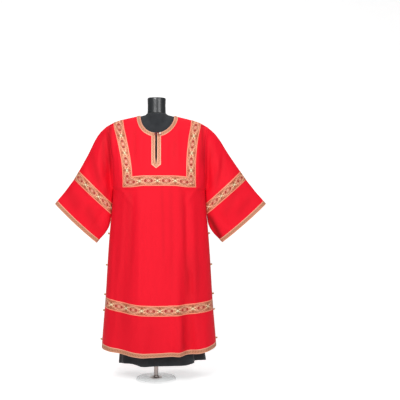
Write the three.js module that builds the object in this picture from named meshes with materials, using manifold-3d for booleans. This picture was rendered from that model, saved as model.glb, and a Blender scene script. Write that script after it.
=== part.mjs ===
// A sticharion, the straight wide-sleeved vestment of an altar server, worn on a limbless dress form.
// Millimetres, +Z up, the front faces -Y. The origin is the centre of the stand's foot, on the floor.
// Cloth is a wall that follows rings worked out from the tables below. Braids lie on the cloth: they are
// made from the cloth's own points, moved out.
import * as THREE from "three";
import { mergeVertices } from "three/addons/utils/BufferGeometryUtils.js";
import Module from "manifold-3d";

const wasm = await Module();
wasm.setup();

// ---- driving sizes -------------------------------------------------------------------------------
const CLOTH_WALL = 1.6;
const BRAID_WALL = 1.0;
const SEAM = 0.3; // gap between pieces that are sewn together or lie on each other
const NARROW_BRAID = 24;
const SHOULDER_X = 300; // the sleeve seam at the shoulder
const SHOULDER_Z = 1508;
const UNDERARM_Z = 1130;
const ARMHOLE_DEPTH = 70; // half of the armhole's width from front to back
const YOKE_TOP_Z = 1212; // upper and lower edge of the yoke's level braid
const YOKE_LOW_Z = 1152;
const BAND_TOP_Z = 470; // upper and lower edge of the wide braid round the skirt
const BAND_LOW_Z = 410;
const HEM_Z = 175; // lowest point of the hem, at the centre of front and back
const HEM_RISE = 26; // the hem is this much higher at the side slits
const NECK_HALF = 99; // the neck opening, inside its braid
const NECK_FRONT_Z = 1464;
const NECK_BACK_Z = 1544;
const NECK_TOP_Z = 1576;
const SLIT_HALF = 5;
const SLIT_LOW_Z = 1280;
const SQUARENESS = 2.4; // of the body's rings: 2 is an ellipse
const LEAN = 12; // the garment hangs this far to its left below the yoke
const LEAN_RUN = 350;
const HANG_OFFSET = 7; // the neck opening's centre and the form's shoulders, from the pole's axis

// The body's rings, from below the hem to above the shoulder.
const BODY = [
  { z: 140, half: 345, front: 208, back: 216 },
  { z: 440, half: 319, front: 190, back: 196 },
  { z: 760, half: 300, front: 166, back: 170 },
  { z: 1130, half: 273, front: 146, back: 144 },
  { z: 1300, half: 269, front: 137, back: 136 },
  { z: 1430, half: 282, front: 134, back: 134 },
  { z: 1508, half: 300, front: 131, back: 131 },
  { z: 1620, half: 318, front: 130, back: 130 },
];

// The shoulder line: its height at each distance from the centre. Inside the neck it is only a guide.
const SHOULDER_LINE = [
  { x: 0, z: 1587 },
  { x: 60, z: 1583 },
  { x: 126, z: 1567 },
  { x: 200, z: 1549 },
  { x: 256, z: 1530 },
  { x: 300, z: 1508 },
];

// Columns of a body panel, as shares of the ring's half width, at the shoulder line and from the yoke's
// level braid down. The yoke's upright braids run from yokeIn to yokeOut.
const COLUMNS = [
  { name: "centre", top: 0, low: 0 },
  { name: "a", top: 0.13, low: 0.12 },
  { name: "b", top: 0.27, low: 0.24 },
  { name: "c", top: 0.4, low: 0.35 },
  { name: "d", top: 0.53, low: 0.46 },
  { name: "yokeIn", top: 0.66, low: 0.575 },
  { name: "yokeMid", top: 0.76, low: 0.68 },
  { name: "yokeOut", top: 0.86, low: 0.785 },
  { name: "e", top: 0.94, low: 0.9 },
  { name: "edgeBraid", top: 0.985, low: 1 }, // its low value follows the narrow braid's width
  { name: "edge", top: 1, low: 1 },
];

// Rows above the yoke's level braid, as shares of the way up to the shoulder line, and rows below it.
const ROWS_UP = [1, 0.985, 0.945, 0.87, 0.74, 0.55, 0.3, 0];
const SLIT_TOP_Z = 1110;
const ROWS_DOWN = [
  YOKE_LOW_Z, UNDERARM_Z, SLIT_TOP_Z, 1000, 880, 760, 650, 555, BAND_TOP_Z, BAND_LOW_Z, 330, 255,
];

// Large soft folds of the hanging cloth: where across the panel, how wide, how far out at the hem, and
// the height at which each one starts.
const FOLDS = [
  { panel: "front", at: 0.47, spread: 0.17, out: -20, start: 900 },
  { panel: "front", at: 0.74, spread: 0.16, out: 10, start: 1000 },
  { panel: "front", at: -0.5, spread: 0.22, out: -9, start: 1050 },
  { panel: "back", at: -0.06, spread: 0.34, out: -92, start: 1180 },
  { panel: "back", at: 0.55, spread: 0.2, out: 10, start: 900 },
  { panel: "back", at: -0.52, spread: 0.2, out: 14, start: 900 },
];

// The sleeve's rings, from the armhole to the cuff: the ends of each ring on the sleeve's upper and lower
// line, and half of its thickness to the front and to the back.
const SLEEVE = [
  { name: "gather", topX: 336, topZ: 1476, lowX: 278, lowZ: 1118, front: 56, back: 58 },
  { name: "bend", topX: 372, topZ: 1428, lowX: 281, lowZ: 1100, front: 52, back: 56 },
  { name: "upper", topX: 420, topZ: 1342, lowX: 285, lowZ: 1078, front: 60, back: 62 },
  { name: "bandTop", topX: 481, topZ: 1243, lowX: 289, lowZ: 1050, front: 60, back: 60 },
  { name: "bandLow", topX: 513, topZ: 1193, lowX: 291, lowZ: 984, front: 52, back: 52 },
  { name: "lower", topX: 566, topZ: 1124, lowX: 326, lowZ: 888, front: 42, back: 42 },
  { name: "cuffBraid", topX: 615, topZ: 1066, lowX: 366, lowZ: 840, front: 33, back: 33 },
  { name: "cuff", topX: 630, topZ: 1046, lowX: 376, lowZ: 816, front: 31, back: 31 },
];
const SLEEVE_REACH = { right: 0.96, left: 1.04 }; // the wearer's sleeves, outwards from the armhole

// Buttons that close the side slits, on the back panel's edge.
const BUTTON_HEIGHTS = [870, 683, 507, 412, 240];
const BUTTON_R = 7.5;
const SHANK_R = 2;
const SHANK_LENGTH = 4.4;
const LOOP_R = 8.5;
const LOOP_CORD_R = 1.1;
const SLIT_OPEN = { top: SEAM, hem: 8 }; // half of the gap between front and back at the slit

// The dress form.
const FORM_CLEARANCE = 0.45; // to the cloth along the shoulder line, where the garment hangs
const NECK_CAP = { low: 1588, high: 1681, radius: 55, waist: 53, round: 9 };
const FOOT = { radius: 118, height: 9, bevel: 2 };
const COLLAR = { radius: 34, height: 12 };
const POLE = { radius: 13, high: 748 };
const TORSO = [
  { z: 760, half: 146, front: 92, back: 98 },
  { z: 860, half: 160, front: 100, back: 108 },
  { z: 960, half: 164, front: 103, back: 110 },
  { z: 1090, half: 148, front: 96, back: 96 },
  { z: 1230, half: 168, front: 104, back: 102 },
  { z: 1340, half: 184, front: 106, back: 106 },
  { z: 1430, half: 205, front: 98, back: 104 },
  { z: 1500, half: 222, front: 90, back: 98 },
  { z: 1620, half: 238, front: 84, back: 92 },
];
const NECK_BASE = [
  { z: 1480, radius: 50 },
  { z: 1560, radius: 58 },
  { z: NECK_CAP.low - SEAM, radius: 63 },
];
const NECK_OVAL = { deep: 0.74, forward: 5, aside: 3 }; // the neck is oval, off the pole's axis
// The form's black cover falls from its hips as a flared skirt.
const COVER = [
  { z: 940, left: 166.1, right: 166.1, front: 105.4, back: 112.6 },
  { z: 820, left: 176, right: 178, front: 116, back: 122 },
  { z: 560, left: 198, right: 214, front: 128, back: 112 },
  { z: 300, left: 210, right: 246, front: 140, back: 96 },
  { z: 112, left: 222, right: 276, front: 150, back: 104 },
];
const COVER_FLUTES = { count: 7, out: 9 };
const TORSO_SQUARENESS = 2.2;

// ---- reading the tables ---------------------------------------------------------------------------
// A smooth curve through a table's rows (cubic, with the slopes of the neighbouring rows).
function read(table, along, column, at) {
  const down = table[0][along] > table[table.length - 1][along];
  const rows = down ? [...table].reverse() : table;
  const last = rows.length - 1;
  const place = THREE.MathUtils.clamp(at, rows[0][along], rows[last][along]);
  let k = 0;
  while (k < last - 1 && rows[k + 1][along] < place) k++;
  const slope = (i) => {
    const a = rows[Math.max(i - 1, 0)];
    const b = rows[Math.min(i + 1, last)];
    return (b[column] - a[column]) / (b[along] - a[along]);
  };
  const run = rows[k + 1][along] - rows[k][along];
  const t = (place - rows[k][along]) / run;
  const t2 = t * t;
  const t3 = t2 * t;
  return (
    (2 * t3 - 3 * t2 + 1) * rows[k][column] +
    (t3 - 2 * t2 + t) * run * slope(k) +
    (3 * t2 - 2 * t3) * rows[k + 1][column] +
    (t3 - t2) * run * slope(k + 1)
  );
}

const smooth = (t) => THREE.MathUtils.smoothstep(t, 0, 1);
const shoulderHeight = (x) => read(SHOULDER_LINE, "x", "z", Math.abs(x));
const lean = (z) => LEAN * smooth((SHOULDER_Z - z) / LEAN_RUN);

// Half of the armhole's width from front to back, at a height.
function armhole(z) {
  const middle = (SHOULDER_Z + UNDERARM_Z) / 2;
  const share = (z - middle) / (SHOULDER_Z - middle);
  return ARMHOLE_DEPTH * Math.sqrt(Math.max(0, 1 - share * share));
}

// How full the chest or back is, from 1 at the yoke's level braid to 0 on the shoulder line.
function fullness(z, ridge) {
  const share = THREE.MathUtils.clamp((z - YOKE_TOP_Z) / (ridge - YOKE_TOP_Z), 0, 1);
  return Math.pow(1 - Math.pow(share, 1.5), 1 / 1.7);
}

function foldOut(panel, across, z) {
  let out = 0;
  for (const fold of FOLDS) {
    const off = Math.abs(across - fold.at) / fold.spread;
    if (fold.panel !== panel || off >= 1) continue;
    const ramp = THREE.MathUtils.clamp((fold.start - z) / (fold.start - HEM_Z), 0, 1);
    out += fold.out * Math.pow(Math.cos((off * Math.PI) / 2), 2) * Math.pow(ramp, 1.3);
  }
  return out;
}

// Half of the gap between front and back along the side slit.
function slitGap(z) {
  const share = THREE.MathUtils.clamp((UNDERARM_Z - z) / (UNDERARM_Z - HEM_Z), 0, 1);
  return THREE.MathUtils.lerp(SLIT_OPEN.top, SLIT_OPEN.hem, smooth(share));
}

// A point of the body's outer face. Across runs from -1 at the wearer's right edge to 1 at the left.
function bodyPoint(panel, across, z, ridge) {
  const half = read(BODY, "z", "half", z);
  const depth = read(BODY, "z", panel, z) * fullness(z, ridge) + foldOut(panel, across, z);
  const rim = armhole(z);
  const crown = Math.pow(1 - Math.pow(Math.abs(across), SQUARENESS), 1 / SQUARENESS);
  const y = rim + Math.max(0, depth - rim) * crown + slitGap(z);
  return new THREE.Vector3(half * across + lean(z), panel === "front" ? -y : y, z);
}

// ---- grids of cloth points ------------------------------------------------------------------------
// The share across at which a column runs, at a height and for its own shoulder height.
function columnShare(column, panel, z, ridge) {
  const down = smooth((ridge - z) / (ridge - YOKE_LOW_Z));
  let low = column.low;
  if (column.name === "edgeBraid") {
    const crown = NARROW_BRAID / read(BODY, "z", panel, z);
    low = Math.pow(1 - Math.pow(crown, SQUARENESS), 1 / SQUARENESS);
  }
  return THREE.MathUtils.lerp(column.top, low, down);
}

const SIGNED_COLUMNS = [
  ...COLUMNS.slice(1).reverse().map((c) => ({ ...c, side: -1 })),
  { ...COLUMNS[0], side: 1 },
  ...COLUMNS.slice(1).map((c) => ({ ...c, side: 1 })),
];

// The body grid has a row for each list entry; the last two rows bound the hem's narrow braid.
function bodyGrid(panel) {
  const rows = [];
  for (const up of ROWS_UP)
    rows.push((ridge) => THREE.MathUtils.lerp(YOKE_TOP_Z, ridge, up));
  for (const z of ROWS_DOWN) rows.push(() => z);
  rows.push((ridge, hem) => hem + NARROW_BRAID);
  rows.push((ridge, hem) => hem);
  return rows.map((height) =>
    SIGNED_COLUMNS.map((column) => {
      const ridge = shoulderHeight(column.top * SHOULDER_X);
      const hem = HEM_Z + HEM_RISE * column.low * column.low;
      const z = height(ridge, hem);
      const share = column.side * columnShare(column, panel, z, ridge);
      return bodyPoint(panel, share, z, ridge);
    }),
  );
}

// The armhole edge of a body panel, from the shoulder down to the underarm.
const ARMHOLE_ROWS = ROWS_UP.length + 2;

// A sleeve's grid: rings of points from the armhole out, front first, then back.
function sleeveGrid(side, front, back) {
  const sign = side === "right" ? -1 : 1;
  const edge = sign < 0 ? 0 : SIGNED_COLUMNS.length - 1;
  const seam = [];
  for (let j = 0; j < ARMHOLE_ROWS; j++) seam.push(front[j][edge]);
  for (let j = ARMHOLE_ROWS - 2; j > 0; j--) seam.push(back[j][edge]);
  const top = seam[0].z;
  const low = seam[ARMHOLE_ROWS - 1].z;
  const ring0 = seam.map((p) => new THREE.Vector3(p.x + sign * SEAM, p.y, p.z));
  const rings = SLEEVE.map((row) =>
    seam.map((p, i) => {
      const share = (p.z - (top + low) / 2) / ((top - low) / 2);
      const angle = Math.acos(THREE.MathUtils.clamp(share, -1, 1));
      const depth = i < ARMHOLE_ROWS ? -row.front : row.back;
      const x = THREE.MathUtils.lerp(row.lowX, row.topX, (Math.cos(angle) + 1) / 2);
      const z = THREE.MathUtils.lerp(row.lowZ, row.topZ, (Math.cos(angle) + 1) / 2);
      const reached = SHOULDER_X + (x - SHOULDER_X) * (x > SHOULDER_X ? SLEEVE_REACH[side] : 1);
      return new THREE.Vector3(sign * reached + lean(z), depth * Math.sin(angle), z);
    }),
  );
  return [ring0, ...rings];
}

// Normals of a grid's points. A closed grid's columns go round.
function gridNormals(grid, closed) {
  const cols = grid[0].length;
  const normals = grid.map((row) => row.map(() => new THREE.Vector3()));
  for (let j = 0; j + 1 < grid.length; j++)
    for (let i = 0; i < (closed ? cols : cols - 1); i++) {
      const k = (i + 1) % cols;
      const down = grid[j + 1][k].clone().sub(grid[j][i]);
      const along = grid[j][k].clone().sub(grid[j + 1][i]);
      const n = down.cross(along);
      for (const [a, b] of [[j, i], [j, k], [j + 1, i], [j + 1, k]]) normals[a][b].add(n);
    }
  for (const row of normals) for (const n of row) n.normalize();
  return normals;
}

// ---- closed solids --------------------------------------------------------------------------------
function geometryOf(points, triangles) {
  const position = new Float32Array(points.flatMap((p) => [p.x, p.y, p.z]));
  const geometry = new THREE.BufferGeometry();
  geometry.setAttribute("position", new THREE.BufferAttribute(position, 3));
  let volume = 0;
  for (const [a, b, c] of triangles)
    volume += points[a].dot(new THREE.Vector3().crossVectors(points[b], points[c]));
  geometry.setIndex(triangles.flatMap(([a, b, c]) => (volume < 0 ? [a, c, b] : [a, b, c])));
  geometry.computeVertexNormals();
  return geometry;
}

// A wall over the grid's cells that the mask picks, between two distances from the grid's face. Its
// outline can be trimmed inwards, so braids that meet side by side keep their gap.
function wallOver(sheet, from, to, mask = () => true, trim = 0) {
  const { grid, normals, closed } = sheet;
  const cols = grid[0].length;
  const points = [];
  const index = new Map();
  const at = (j, i, layer) => {
    const key = (j * cols + i) * 2 + layer;
    if (!index.has(key)) {
      index.set(key, points.length);
      points.push(grid[j][i].clone().addScaledVector(normals[j][i], layer ? to : from));
    }
    return index.get(key);
  };
  const triangles = [];
  const edges = new Map();
  const inward = new Map(); // from each point towards the middles of its picked cells
  const side = (a, b) => {
    const back = `${b[0]},${b[1]},${a[0]},${a[1]}`;
    if (edges.has(back)) edges.delete(back);
    else edges.set(`${a[0]},${a[1]},${b[0]},${b[1]}`, [a, b]);
  };
  for (let j = 0; j + 1 < grid.length; j++)
    for (let i = 0; i < (closed ? cols : cols - 1); i++) {
      if (!mask(j, i)) continue;
      const k = (i + 1) % cols;
      const corners = [[j, i], [j + 1, i], [j + 1, k], [j, k]];
      const outer = corners.map(([a, b]) => at(a, b, 1));
      const inner = corners.map(([a, b]) => at(a, b, 0));
      triangles.push([outer[0], outer[1], outer[2]], [outer[0], outer[2], outer[3]]);
      triangles.push([inner[0], inner[2], inner[1]], [inner[0], inner[3], inner[2]]);
      corners.forEach((corner, n) => side(corner, corners[(n + 1) % 4]));
      if (!trim) continue;
      const middle = new THREE.Vector3();
      for (const [a, b] of corners) middle.addScaledVector(grid[a][b], 0.25);
      for (const [a, b] of corners) {
        const key = `${a},${b}`;
        if (!inward.has(key)) inward.set(key, new THREE.Vector3());
        inward.get(key).add(middle.clone().sub(grid[a][b]).normalize());
      }
    }
  const rim = new Set([...edges.values()].flatMap(([a]) => [`${a[0]},${a[1]}`]));
  if (trim)
    for (const key of rim) {
      const [j, i] = key.split(",").map(Number);
      const way = inward.get(key).projectOnPlane(normals[j][i]).normalize();
      for (const layer of [0, 1]) points[at(j, i, layer)].addScaledVector(way, trim);
    }
  for (const [a, b] of edges.values()) {
    const [p, q, r, s] = [at(...a, 1), at(...b, 1), at(...b, 0), at(...a, 0)];
    triangles.push([p, s, q], [q, s, r]);
  }
  return geometryOf(points, triangles);
}

const cloth = (sheet, mask) => wallOver(sheet, -CLOTH_WALL, 0, mask);
const braid = (sheet, mask) => wallOver(sheet, SEAM, SEAM + BRAID_WALL, mask, SEAM * 0.7);

function solid(geometry) {
  const bare = geometry.clone();
  bare.deleteAttribute("normal");
  bare.deleteAttribute("uv");
  const merged = mergeVertices(bare, 1e-4);
  return new wasm.Manifold(
    new wasm.Mesh({
      numProp: 3,
      vertProperties: new Float32Array(merged.attributes.position.array),
      triVerts: new Uint32Array(merged.index.array),
    }),
  );
}

function fromSolid(made) {
  const mesh = made.getMesh();
  const geometry = new THREE.BufferGeometry();
  const position = new THREE.BufferAttribute(new Float32Array(mesh.vertProperties), 3);
  geometry.setAttribute("position", position);
  geometry.setIndex([...mesh.triVerts]);
  geometry.computeVertexNormals();
  return geometry;
}

// An outline drawn as seen from the front (x, z), as a solid that runs through one panel of the body.
function throughPanel(outline, panel, curveSegments = 10) {
  const reach = 400;
  const geometry = new THREE.ExtrudeGeometry(outline, {
    depth: reach,
    bevelEnabled: false,
    curveSegments,
  });
  geometry.rotateX(Math.PI / 2);
  geometry.translate(0, panel === "front" ? 0.5 : reach - 0.5, 0);
  return solid(geometry);
}

// ---- outlines -------------------------------------------------------------------------------------
// Half of the neck opening's outline, and for the front the slit below it, grown by some margin.
function neckOutline(lowZ, margin, slit) {
  const half = NECK_HALF + margin;
  const drop = NECK_TOP_Z - lowZ + margin;
  const outline = new THREE.Shape();
  outline.moveTo(-half, NECK_TOP_Z + 60);
  outline.lineTo(-half, NECK_TOP_Z);
  const cut = SLIT_HALF + margin;
  const meet = slit ? Math.acos(cut / half) : Math.PI / 2;
  outline.absellipse(0, NECK_TOP_Z, half, drop, Math.PI, Math.PI + meet, false, 0);
  if (slit) {
    const point = margin ? margin * 0.6 : 14;
    outline.lineTo(-cut, SLIT_LOW_Z - (margin ? margin * 0.5 : -14));
    outline.lineTo(0, SLIT_LOW_Z - (margin ? margin * 0.5 : -14) - point);
    outline.lineTo(cut, SLIT_LOW_Z - (margin ? margin * 0.5 : -14));
  }
  outline.absellipse(0, NECK_TOP_Z, half, drop, 2 * Math.PI - meet, 2 * Math.PI, false, 0);
  outline.lineTo(half, NECK_TOP_Z + 60);
  outline.closePath();
  return outline;
}

// The cross on the back: a lozenge with four flared arms and four small slanting crosses on stems.
const CROSS = { z: 1352, reach: 78, lozenge: 47, stem: 5, flare: 17, small: 50, smallArm: 11 };

function bar(x, y, length, width, turn) {
  const made = new THREE.BoxGeometry(length, 400, width);
  made.rotateY(-turn);
  made.translate(x, 200.5, CROSS.z + y);
  return solid(made);
}

function crossSolid() {
  const lozenge = new THREE.Shape();
  lozenge.moveTo(CROSS.lozenge, CROSS.z);
  lozenge.lineTo(0, CROSS.z + CROSS.lozenge);
  lozenge.lineTo(-CROSS.lozenge, CROSS.z);
  lozenge.lineTo(0, CROSS.z - CROSS.lozenge);
  let made = throughPanel(lozenge, "back");
  for (let n = 0; n < 4; n++) {
    const turn = (n * Math.PI) / 2;
    const [c, s] = [Math.cos(turn), Math.sin(turn)];
    const middle = CROSS.reach / 2;
    made = made.add(bar(middle * c, middle * s, CROSS.reach, CROSS.stem * 2, turn));
    const tip = CROSS.reach - 12;
    made = made.add(bar(tip * c, tip * s, 8, CROSS.flare * 2, turn));
    const slant = turn + Math.PI / 4;
    const out = [CROSS.small * Math.cos(slant), CROSS.small * Math.sin(slant)];
    made = made.add(bar(out[0] * 0.8, out[1] * 0.8, 32, 5, slant));
    for (const arm of [0, Math.PI / 2])
      made = made.add(bar(out[0], out[1], CROSS.smallArm * 2, 6.5, slant + arm));
  }
  return made;
}

// ---- materials ------------------------------------------------------------------------------------
const finish = (color, roughness, metalness = 0, extra = {}) =>
  new THREE.MeshStandardMaterial({ color, roughness, metalness, ...extra });
const RED_CLOTH = finish(0xd3111c, 0.7);
const GOLD_BRAID = finish(0xd09a55, 0.55, 0.2);
const CROSS_GOLD = finish(0xe6c88e, 0.5, 0.25);
const GOLD_METAL = finish(0xd8a75a, 0.3, 0.9);
const RED_CORD = finish(0x8c1016, 0.75);
const BLACK_COVER = finish(0x15171b, 0.85);
const BLACK_GLOSS = finish(0x1c1f22, 0.25);
const POLE_METAL = finish(0xc9b7b2, 0.3, 0.7);
const CLEAR_GLASS = finish(0xe8f0ee, 0.05, 0, { transparent: true, opacity: 0.35 });

// ---- assembly -------------------------------------------------------------------------------------
const object = new THREE.Group();
const garment = new THREE.Group();
garment.position.x = HANG_OFFSET;
const form = new THREE.Group();
object.add(garment, form);

function piece(group, name, geometry, material) {
  const mesh = new THREE.Mesh(geometry, material);
  mesh.name = name;
  group.add(mesh);
  return mesh;
}

const sheets = {};
for (const panel of ["front", "back"]) {
  const grid = bodyGrid(panel);
  sheets[panel] = { grid, normals: gridNormals(grid, false), closed: false };
}
// Normals point away from the body on both panels. Along the shoulder and the slit they have no share
// towards the other panel, so the two walls keep their gap.
for (const row of sheets.back.normals) for (const n of row) n.negate();
for (const { normals } of [sheets.front, sheets.back])
  normals.forEach((row, j) =>
    row.forEach((n, i) => {
      const slitEdge = j >= ROWS_UP.length + 1 && (i === 0 || i === row.length - 1);
      if (j === 0 || slitEdge) n.setY(0).normalize();
    }),
  );
for (const side of ["right", "left"]) {
  const grid = sleeveGrid(side, sheets.front.grid, sheets.back.grid);
  const sheet = { grid, normals: gridNormals(grid, true), closed: true };
  const out = side === "right" ? 1 : -1;
  for (const row of sheet.normals) for (const n of row) n.multiplyScalar(out);
  for (const n of sheet.normals[0]) n.setX(0).normalize();
  sheets[side] = sheet;
}

const rowOf = {
  yokeTop: ROWS_UP.length - 1,
  yokeLow: ROWS_UP.length,
  underarm: ROWS_UP.length + 1,
  slitTop: ROWS_UP.length + 2,
  bandTop: ROWS_UP.length + ROWS_DOWN.indexOf(BAND_TOP_Z),
  bandLow: ROWS_UP.length + ROWS_DOWN.indexOf(BAND_LOW_Z),
  hemBraid: ROWS_UP.length + ROWS_DOWN.length,
  hem: ROWS_UP.length + ROWS_DOWN.length + 1,
};
const columnsOf = (name) => {
  const k = COLUMNS.findIndex((c) => c.name === name);
  return { right: COLUMNS.length - 1 - k, left: COLUMNS.length - 1 + k };
};
const yokeIn = columnsOf("yokeIn");
const yokeOut = columnsOf("yokeOut");
const lastCell = SIGNED_COLUMNS.length - 2;

const neckHole = {
  front: throughPanel(neckOutline(NECK_FRONT_Z, 0, true), "front"),
  back: throughPanel(neckOutline(NECK_BACK_Z, 0, false), "back"),
};
const neckBraidArea = {
  front: throughPanel(neckOutline(NECK_FRONT_Z, NARROW_BRAID, true), "front"),
  back: throughPanel(neckOutline(NECK_BACK_Z, NARROW_BRAID, false), "back"),
};

for (const panel of ["front", "back"]) {
  const sheet = sheets[panel];
  const whole = solid(cloth(sheet));
  piece(garment, `${panel}_panel`, fromSolid(whole.subtract(neckHole[panel])), RED_CLOTH);

  const raised = solid(braid(sheet, (j) => j < rowOf.yokeTop));
  const neck = raised.intersect(neckBraidArea[panel]).subtract(neckHole[panel]);
  piece(garment, `neck_braid_${panel}`, fromSolid(neck), GOLD_BRAID);

  const inYoke = (j, i) => {
    const upright =
      (i >= yokeOut.right && i < yokeIn.right) || (i >= yokeIn.left && i < yokeOut.left);
    const level = j === rowOf.yokeTop && i >= yokeOut.right && i < yokeOut.left;
    return level || (upright && j <= rowOf.yokeTop);
  };
  piece(garment, `yoke_braid_${panel}`, braid(sheet, inYoke), GOLD_BRAID);

  const betweenEdges = (i) => i > 0 && i < lastCell;
  const inBand = (j, i) => j >= rowOf.bandTop && j < rowOf.bandLow && betweenEdges(i);
  piece(garment, `skirt_band_${panel}`, braid(sheet, inBand), GOLD_BRAID);
  const inEdging = (j, i) =>
    j === rowOf.hemBraid || (j >= rowOf.slitTop && (i === 0 || i === lastCell));
  piece(garment, `hem_and_slit_braid_${panel}`, braid(sheet, inEdging), GOLD_BRAID);
}

const ringOf = (name) => 1 + SLEEVE.findIndex((row) => row.name === name);
for (const side of ["right", "left"]) {
  const sheet = sheets[side];
  piece(garment, `sleeve_${side}`, cloth(sheet), RED_CLOTH);
  const inBand = (j) => j === ringOf("bandTop");
  piece(garment, `sleeve_band_${side}`, braid(sheet, inBand), GOLD_BRAID);
  const inCuff = (j) => j === ringOf("cuffBraid");
  piece(garment, `cuff_braid_${side}`, braid(sheet, inCuff), GOLD_BRAID);
}

const backArea = solid(
  braid(sheets.back, (j, i) => j >= 1 && j < rowOf.underarm && i > 3 && i < lastCell - 3),
);
piece(garment, "back_cross", fromSolid(backArea.intersect(crossSolid())), CROSS_GOLD);

// A ball button on its shank, made along +X from the braid's face, and the cord loop that holds it.
function buttonGeometry() {
  const ball = new THREE.SphereGeometry(BUTTON_R, 12, 8);
  ball.translate(SHANK_LENGTH + BUTTON_R - 0.6, 0, 0);
  const shank = new THREE.CylinderGeometry(SHANK_R, SHANK_R, SHANK_LENGTH, 8);
  shank.rotateZ(Math.PI / 2);
  shank.translate(SHANK_LENGTH / 2, 0, 0);
  return fromSolid(solid(ball).add(solid(shank)));
}

function loopGeometry() {
  const loop = new THREE.TorusGeometry(LOOP_R, LOOP_CORD_R, 5, 14);
  loop.rotateY(Math.PI / 2);
  return loop;
}

// The slit's braid faces sideways there, so its outer face is the ring's half width plus the braid.
const slitFace = (z) => read(BODY, "z", "half", z) + 2 * SEAM + BRAID_WALL;

for (const [side, sign] of [["right", -1], ["left", 1]])
  BUTTON_HEIGHTS.forEach((z, n) => {
    const shankY = slitGap(z) + 4.5;
    const tilt = Math.atan((slitFace(z - 9) - slitFace(z + 9)) / 18); // the skirt flares
    const button = piece(garment, `button_${side}_${n + 1}`, buttonGeometry(), GOLD_METAL);
    button.position.set(sign * slitFace(z) + lean(z), shankY, z);
    button.rotation.y = sign < 0 ? Math.PI + tilt : -tilt;
    const loop = piece(garment, `loop_${side}_${n + 1}`, loopGeometry(), RED_CORD);
    const away = slitFace(z) + LOOP_CORD_R;
    loop.position.set(sign * away + lean(z), shankY - LOOP_R + SHANK_R + LOOP_CORD_R + 0.5, z);
    loop.rotation.y = -sign * tilt;
  });

// ---- dress form -----------------------------------------------------------------------------------
// Half of the torso's surface, as a closed solid on the plane between front and back.
function torsoHalf(panel) {
  const rows = [1, 0.985, 0.945, 0.87, 0.74, 0.55, 0.3, 0];
  const heights = [1150, 1090, 1025, 960, 900, 860, 810, TORSO[0].z];
  const shoulder = read(TORSO, "z", "half", SHOULDER_Z);
  const under = COLUMNS.map((c) => (c.top * SHOULDER_X) / shoulder).filter((share) => share < 0.95);
  const shares = [...under, 0.965, 1]; // columns below the cloth's own
  const signed = [...shares.slice(1).reverse().map((s) => -s), ...shares];
  const inset = CLOTH_WALL + FORM_CLEARANCE;
  const rounding = 26; // the shoulder's end is this much lower than the cloth above it
  const grid = [...rows, ...heights].map((row, j) =>
    signed.map((share) => {
      const end = Math.pow(Math.abs(share), 8) * rounding;
      const ridge = shoulderHeight(share * shoulder) - inset - end;
      const z = j < rows.length ? THREE.MathUtils.lerp(YOKE_TOP_Z, ridge, row) : row;
      const full = fullness(z, ridge);
      const crown = Math.pow(1 - Math.pow(Math.abs(share), TORSO_SQUARENESS), 1 / TORSO_SQUARENESS);
      const y = read(TORSO, "z", panel, z) * full * crown;
      const x = read(TORSO, "z", "half", z) * share;
      return new THREE.Vector3(x, panel === "front" ? -y : y, z);
    }),
  );
  return grid;
}

function torsoGeometry() {
  const front = torsoHalf("front");
  const back = torsoHalf("back");
  const cols = front[0].length;
  const points = [];
  const triangles = [];
  const number = (grid) => grid.map((row) => row.map((p) => points.push(p) - 1));
  const a = number(front);
  const b = number(back);
  for (let j = 0; j + 1 < a.length; j++)
    for (let i = 0; i + 1 < cols; i++) {
      triangles.push([a[j][i], a[j + 1][i], a[j + 1][i + 1]], [a[j][i], a[j + 1][i + 1], a[j][i + 1]]);
      triangles.push([b[j][i], b[j + 1][i + 1], b[j + 1][i]], [b[j][i], b[j][i + 1], b[j + 1][i + 1]]);
    }
  const base = a.length - 1;
  for (let i = 0; i + 1 < cols; i++) {
    triangles.push([a[base][i], b[base][i], b[base][i + 1]]);
    triangles.push([a[base][i], b[base][i + 1], a[base][i + 1]]);
  }
  const kept = triangles.filter(([p, q, r]) => {
    const [u, v, w] = [points[p], points[q], points[r]];
    return u.distanceTo(v) > 1e-6 && v.distanceTo(w) > 1e-6 && w.distanceTo(u) > 1e-6;
  });
  return geometryOf(points, kept);
}

function turned(profile, segments) {
  const geometry = new THREE.LatheGeometry(
    profile.map(([r, z]) => new THREE.Vector2(r, z)),
    segments,
  );
  geometry.rotateX(Math.PI / 2);
  return geometry;
}

const oval = (geometry) =>
  geometry.scale(1, NECK_OVAL.deep, 1).translate(NECK_OVAL.aside, -NECK_OVAL.forward, 0);
const neckBase = turned(
  [[0, NECK_BASE[0].z], ...NECK_BASE.map((row) => [row.radius, row.z]), [0, NECK_CAP.low - SEAM]],
  24,
);
const torso = solid(torsoGeometry().translate(HANG_OFFSET, 0, 0)).add(solid(oval(neckBase)));
piece(form, "form_torso", fromSolid(torso), BLACK_COVER);

const capProfile = [
  [0, NECK_CAP.low],
  [NECK_CAP.radius, NECK_CAP.low],
  [NECK_CAP.waist, (NECK_CAP.low + NECK_CAP.high) / 2],
  [NECK_CAP.radius, NECK_CAP.high - NECK_CAP.round],
  [NECK_CAP.radius - NECK_CAP.round * 0.35, NECK_CAP.high - NECK_CAP.round * 0.3],
  [NECK_CAP.radius - NECK_CAP.round * 1.4, NECK_CAP.high - 1],
  [0, NECK_CAP.high],
];
piece(form, "form_neck_cap", oval(turned(capProfile, 28)), BLACK_GLOSS);

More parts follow.
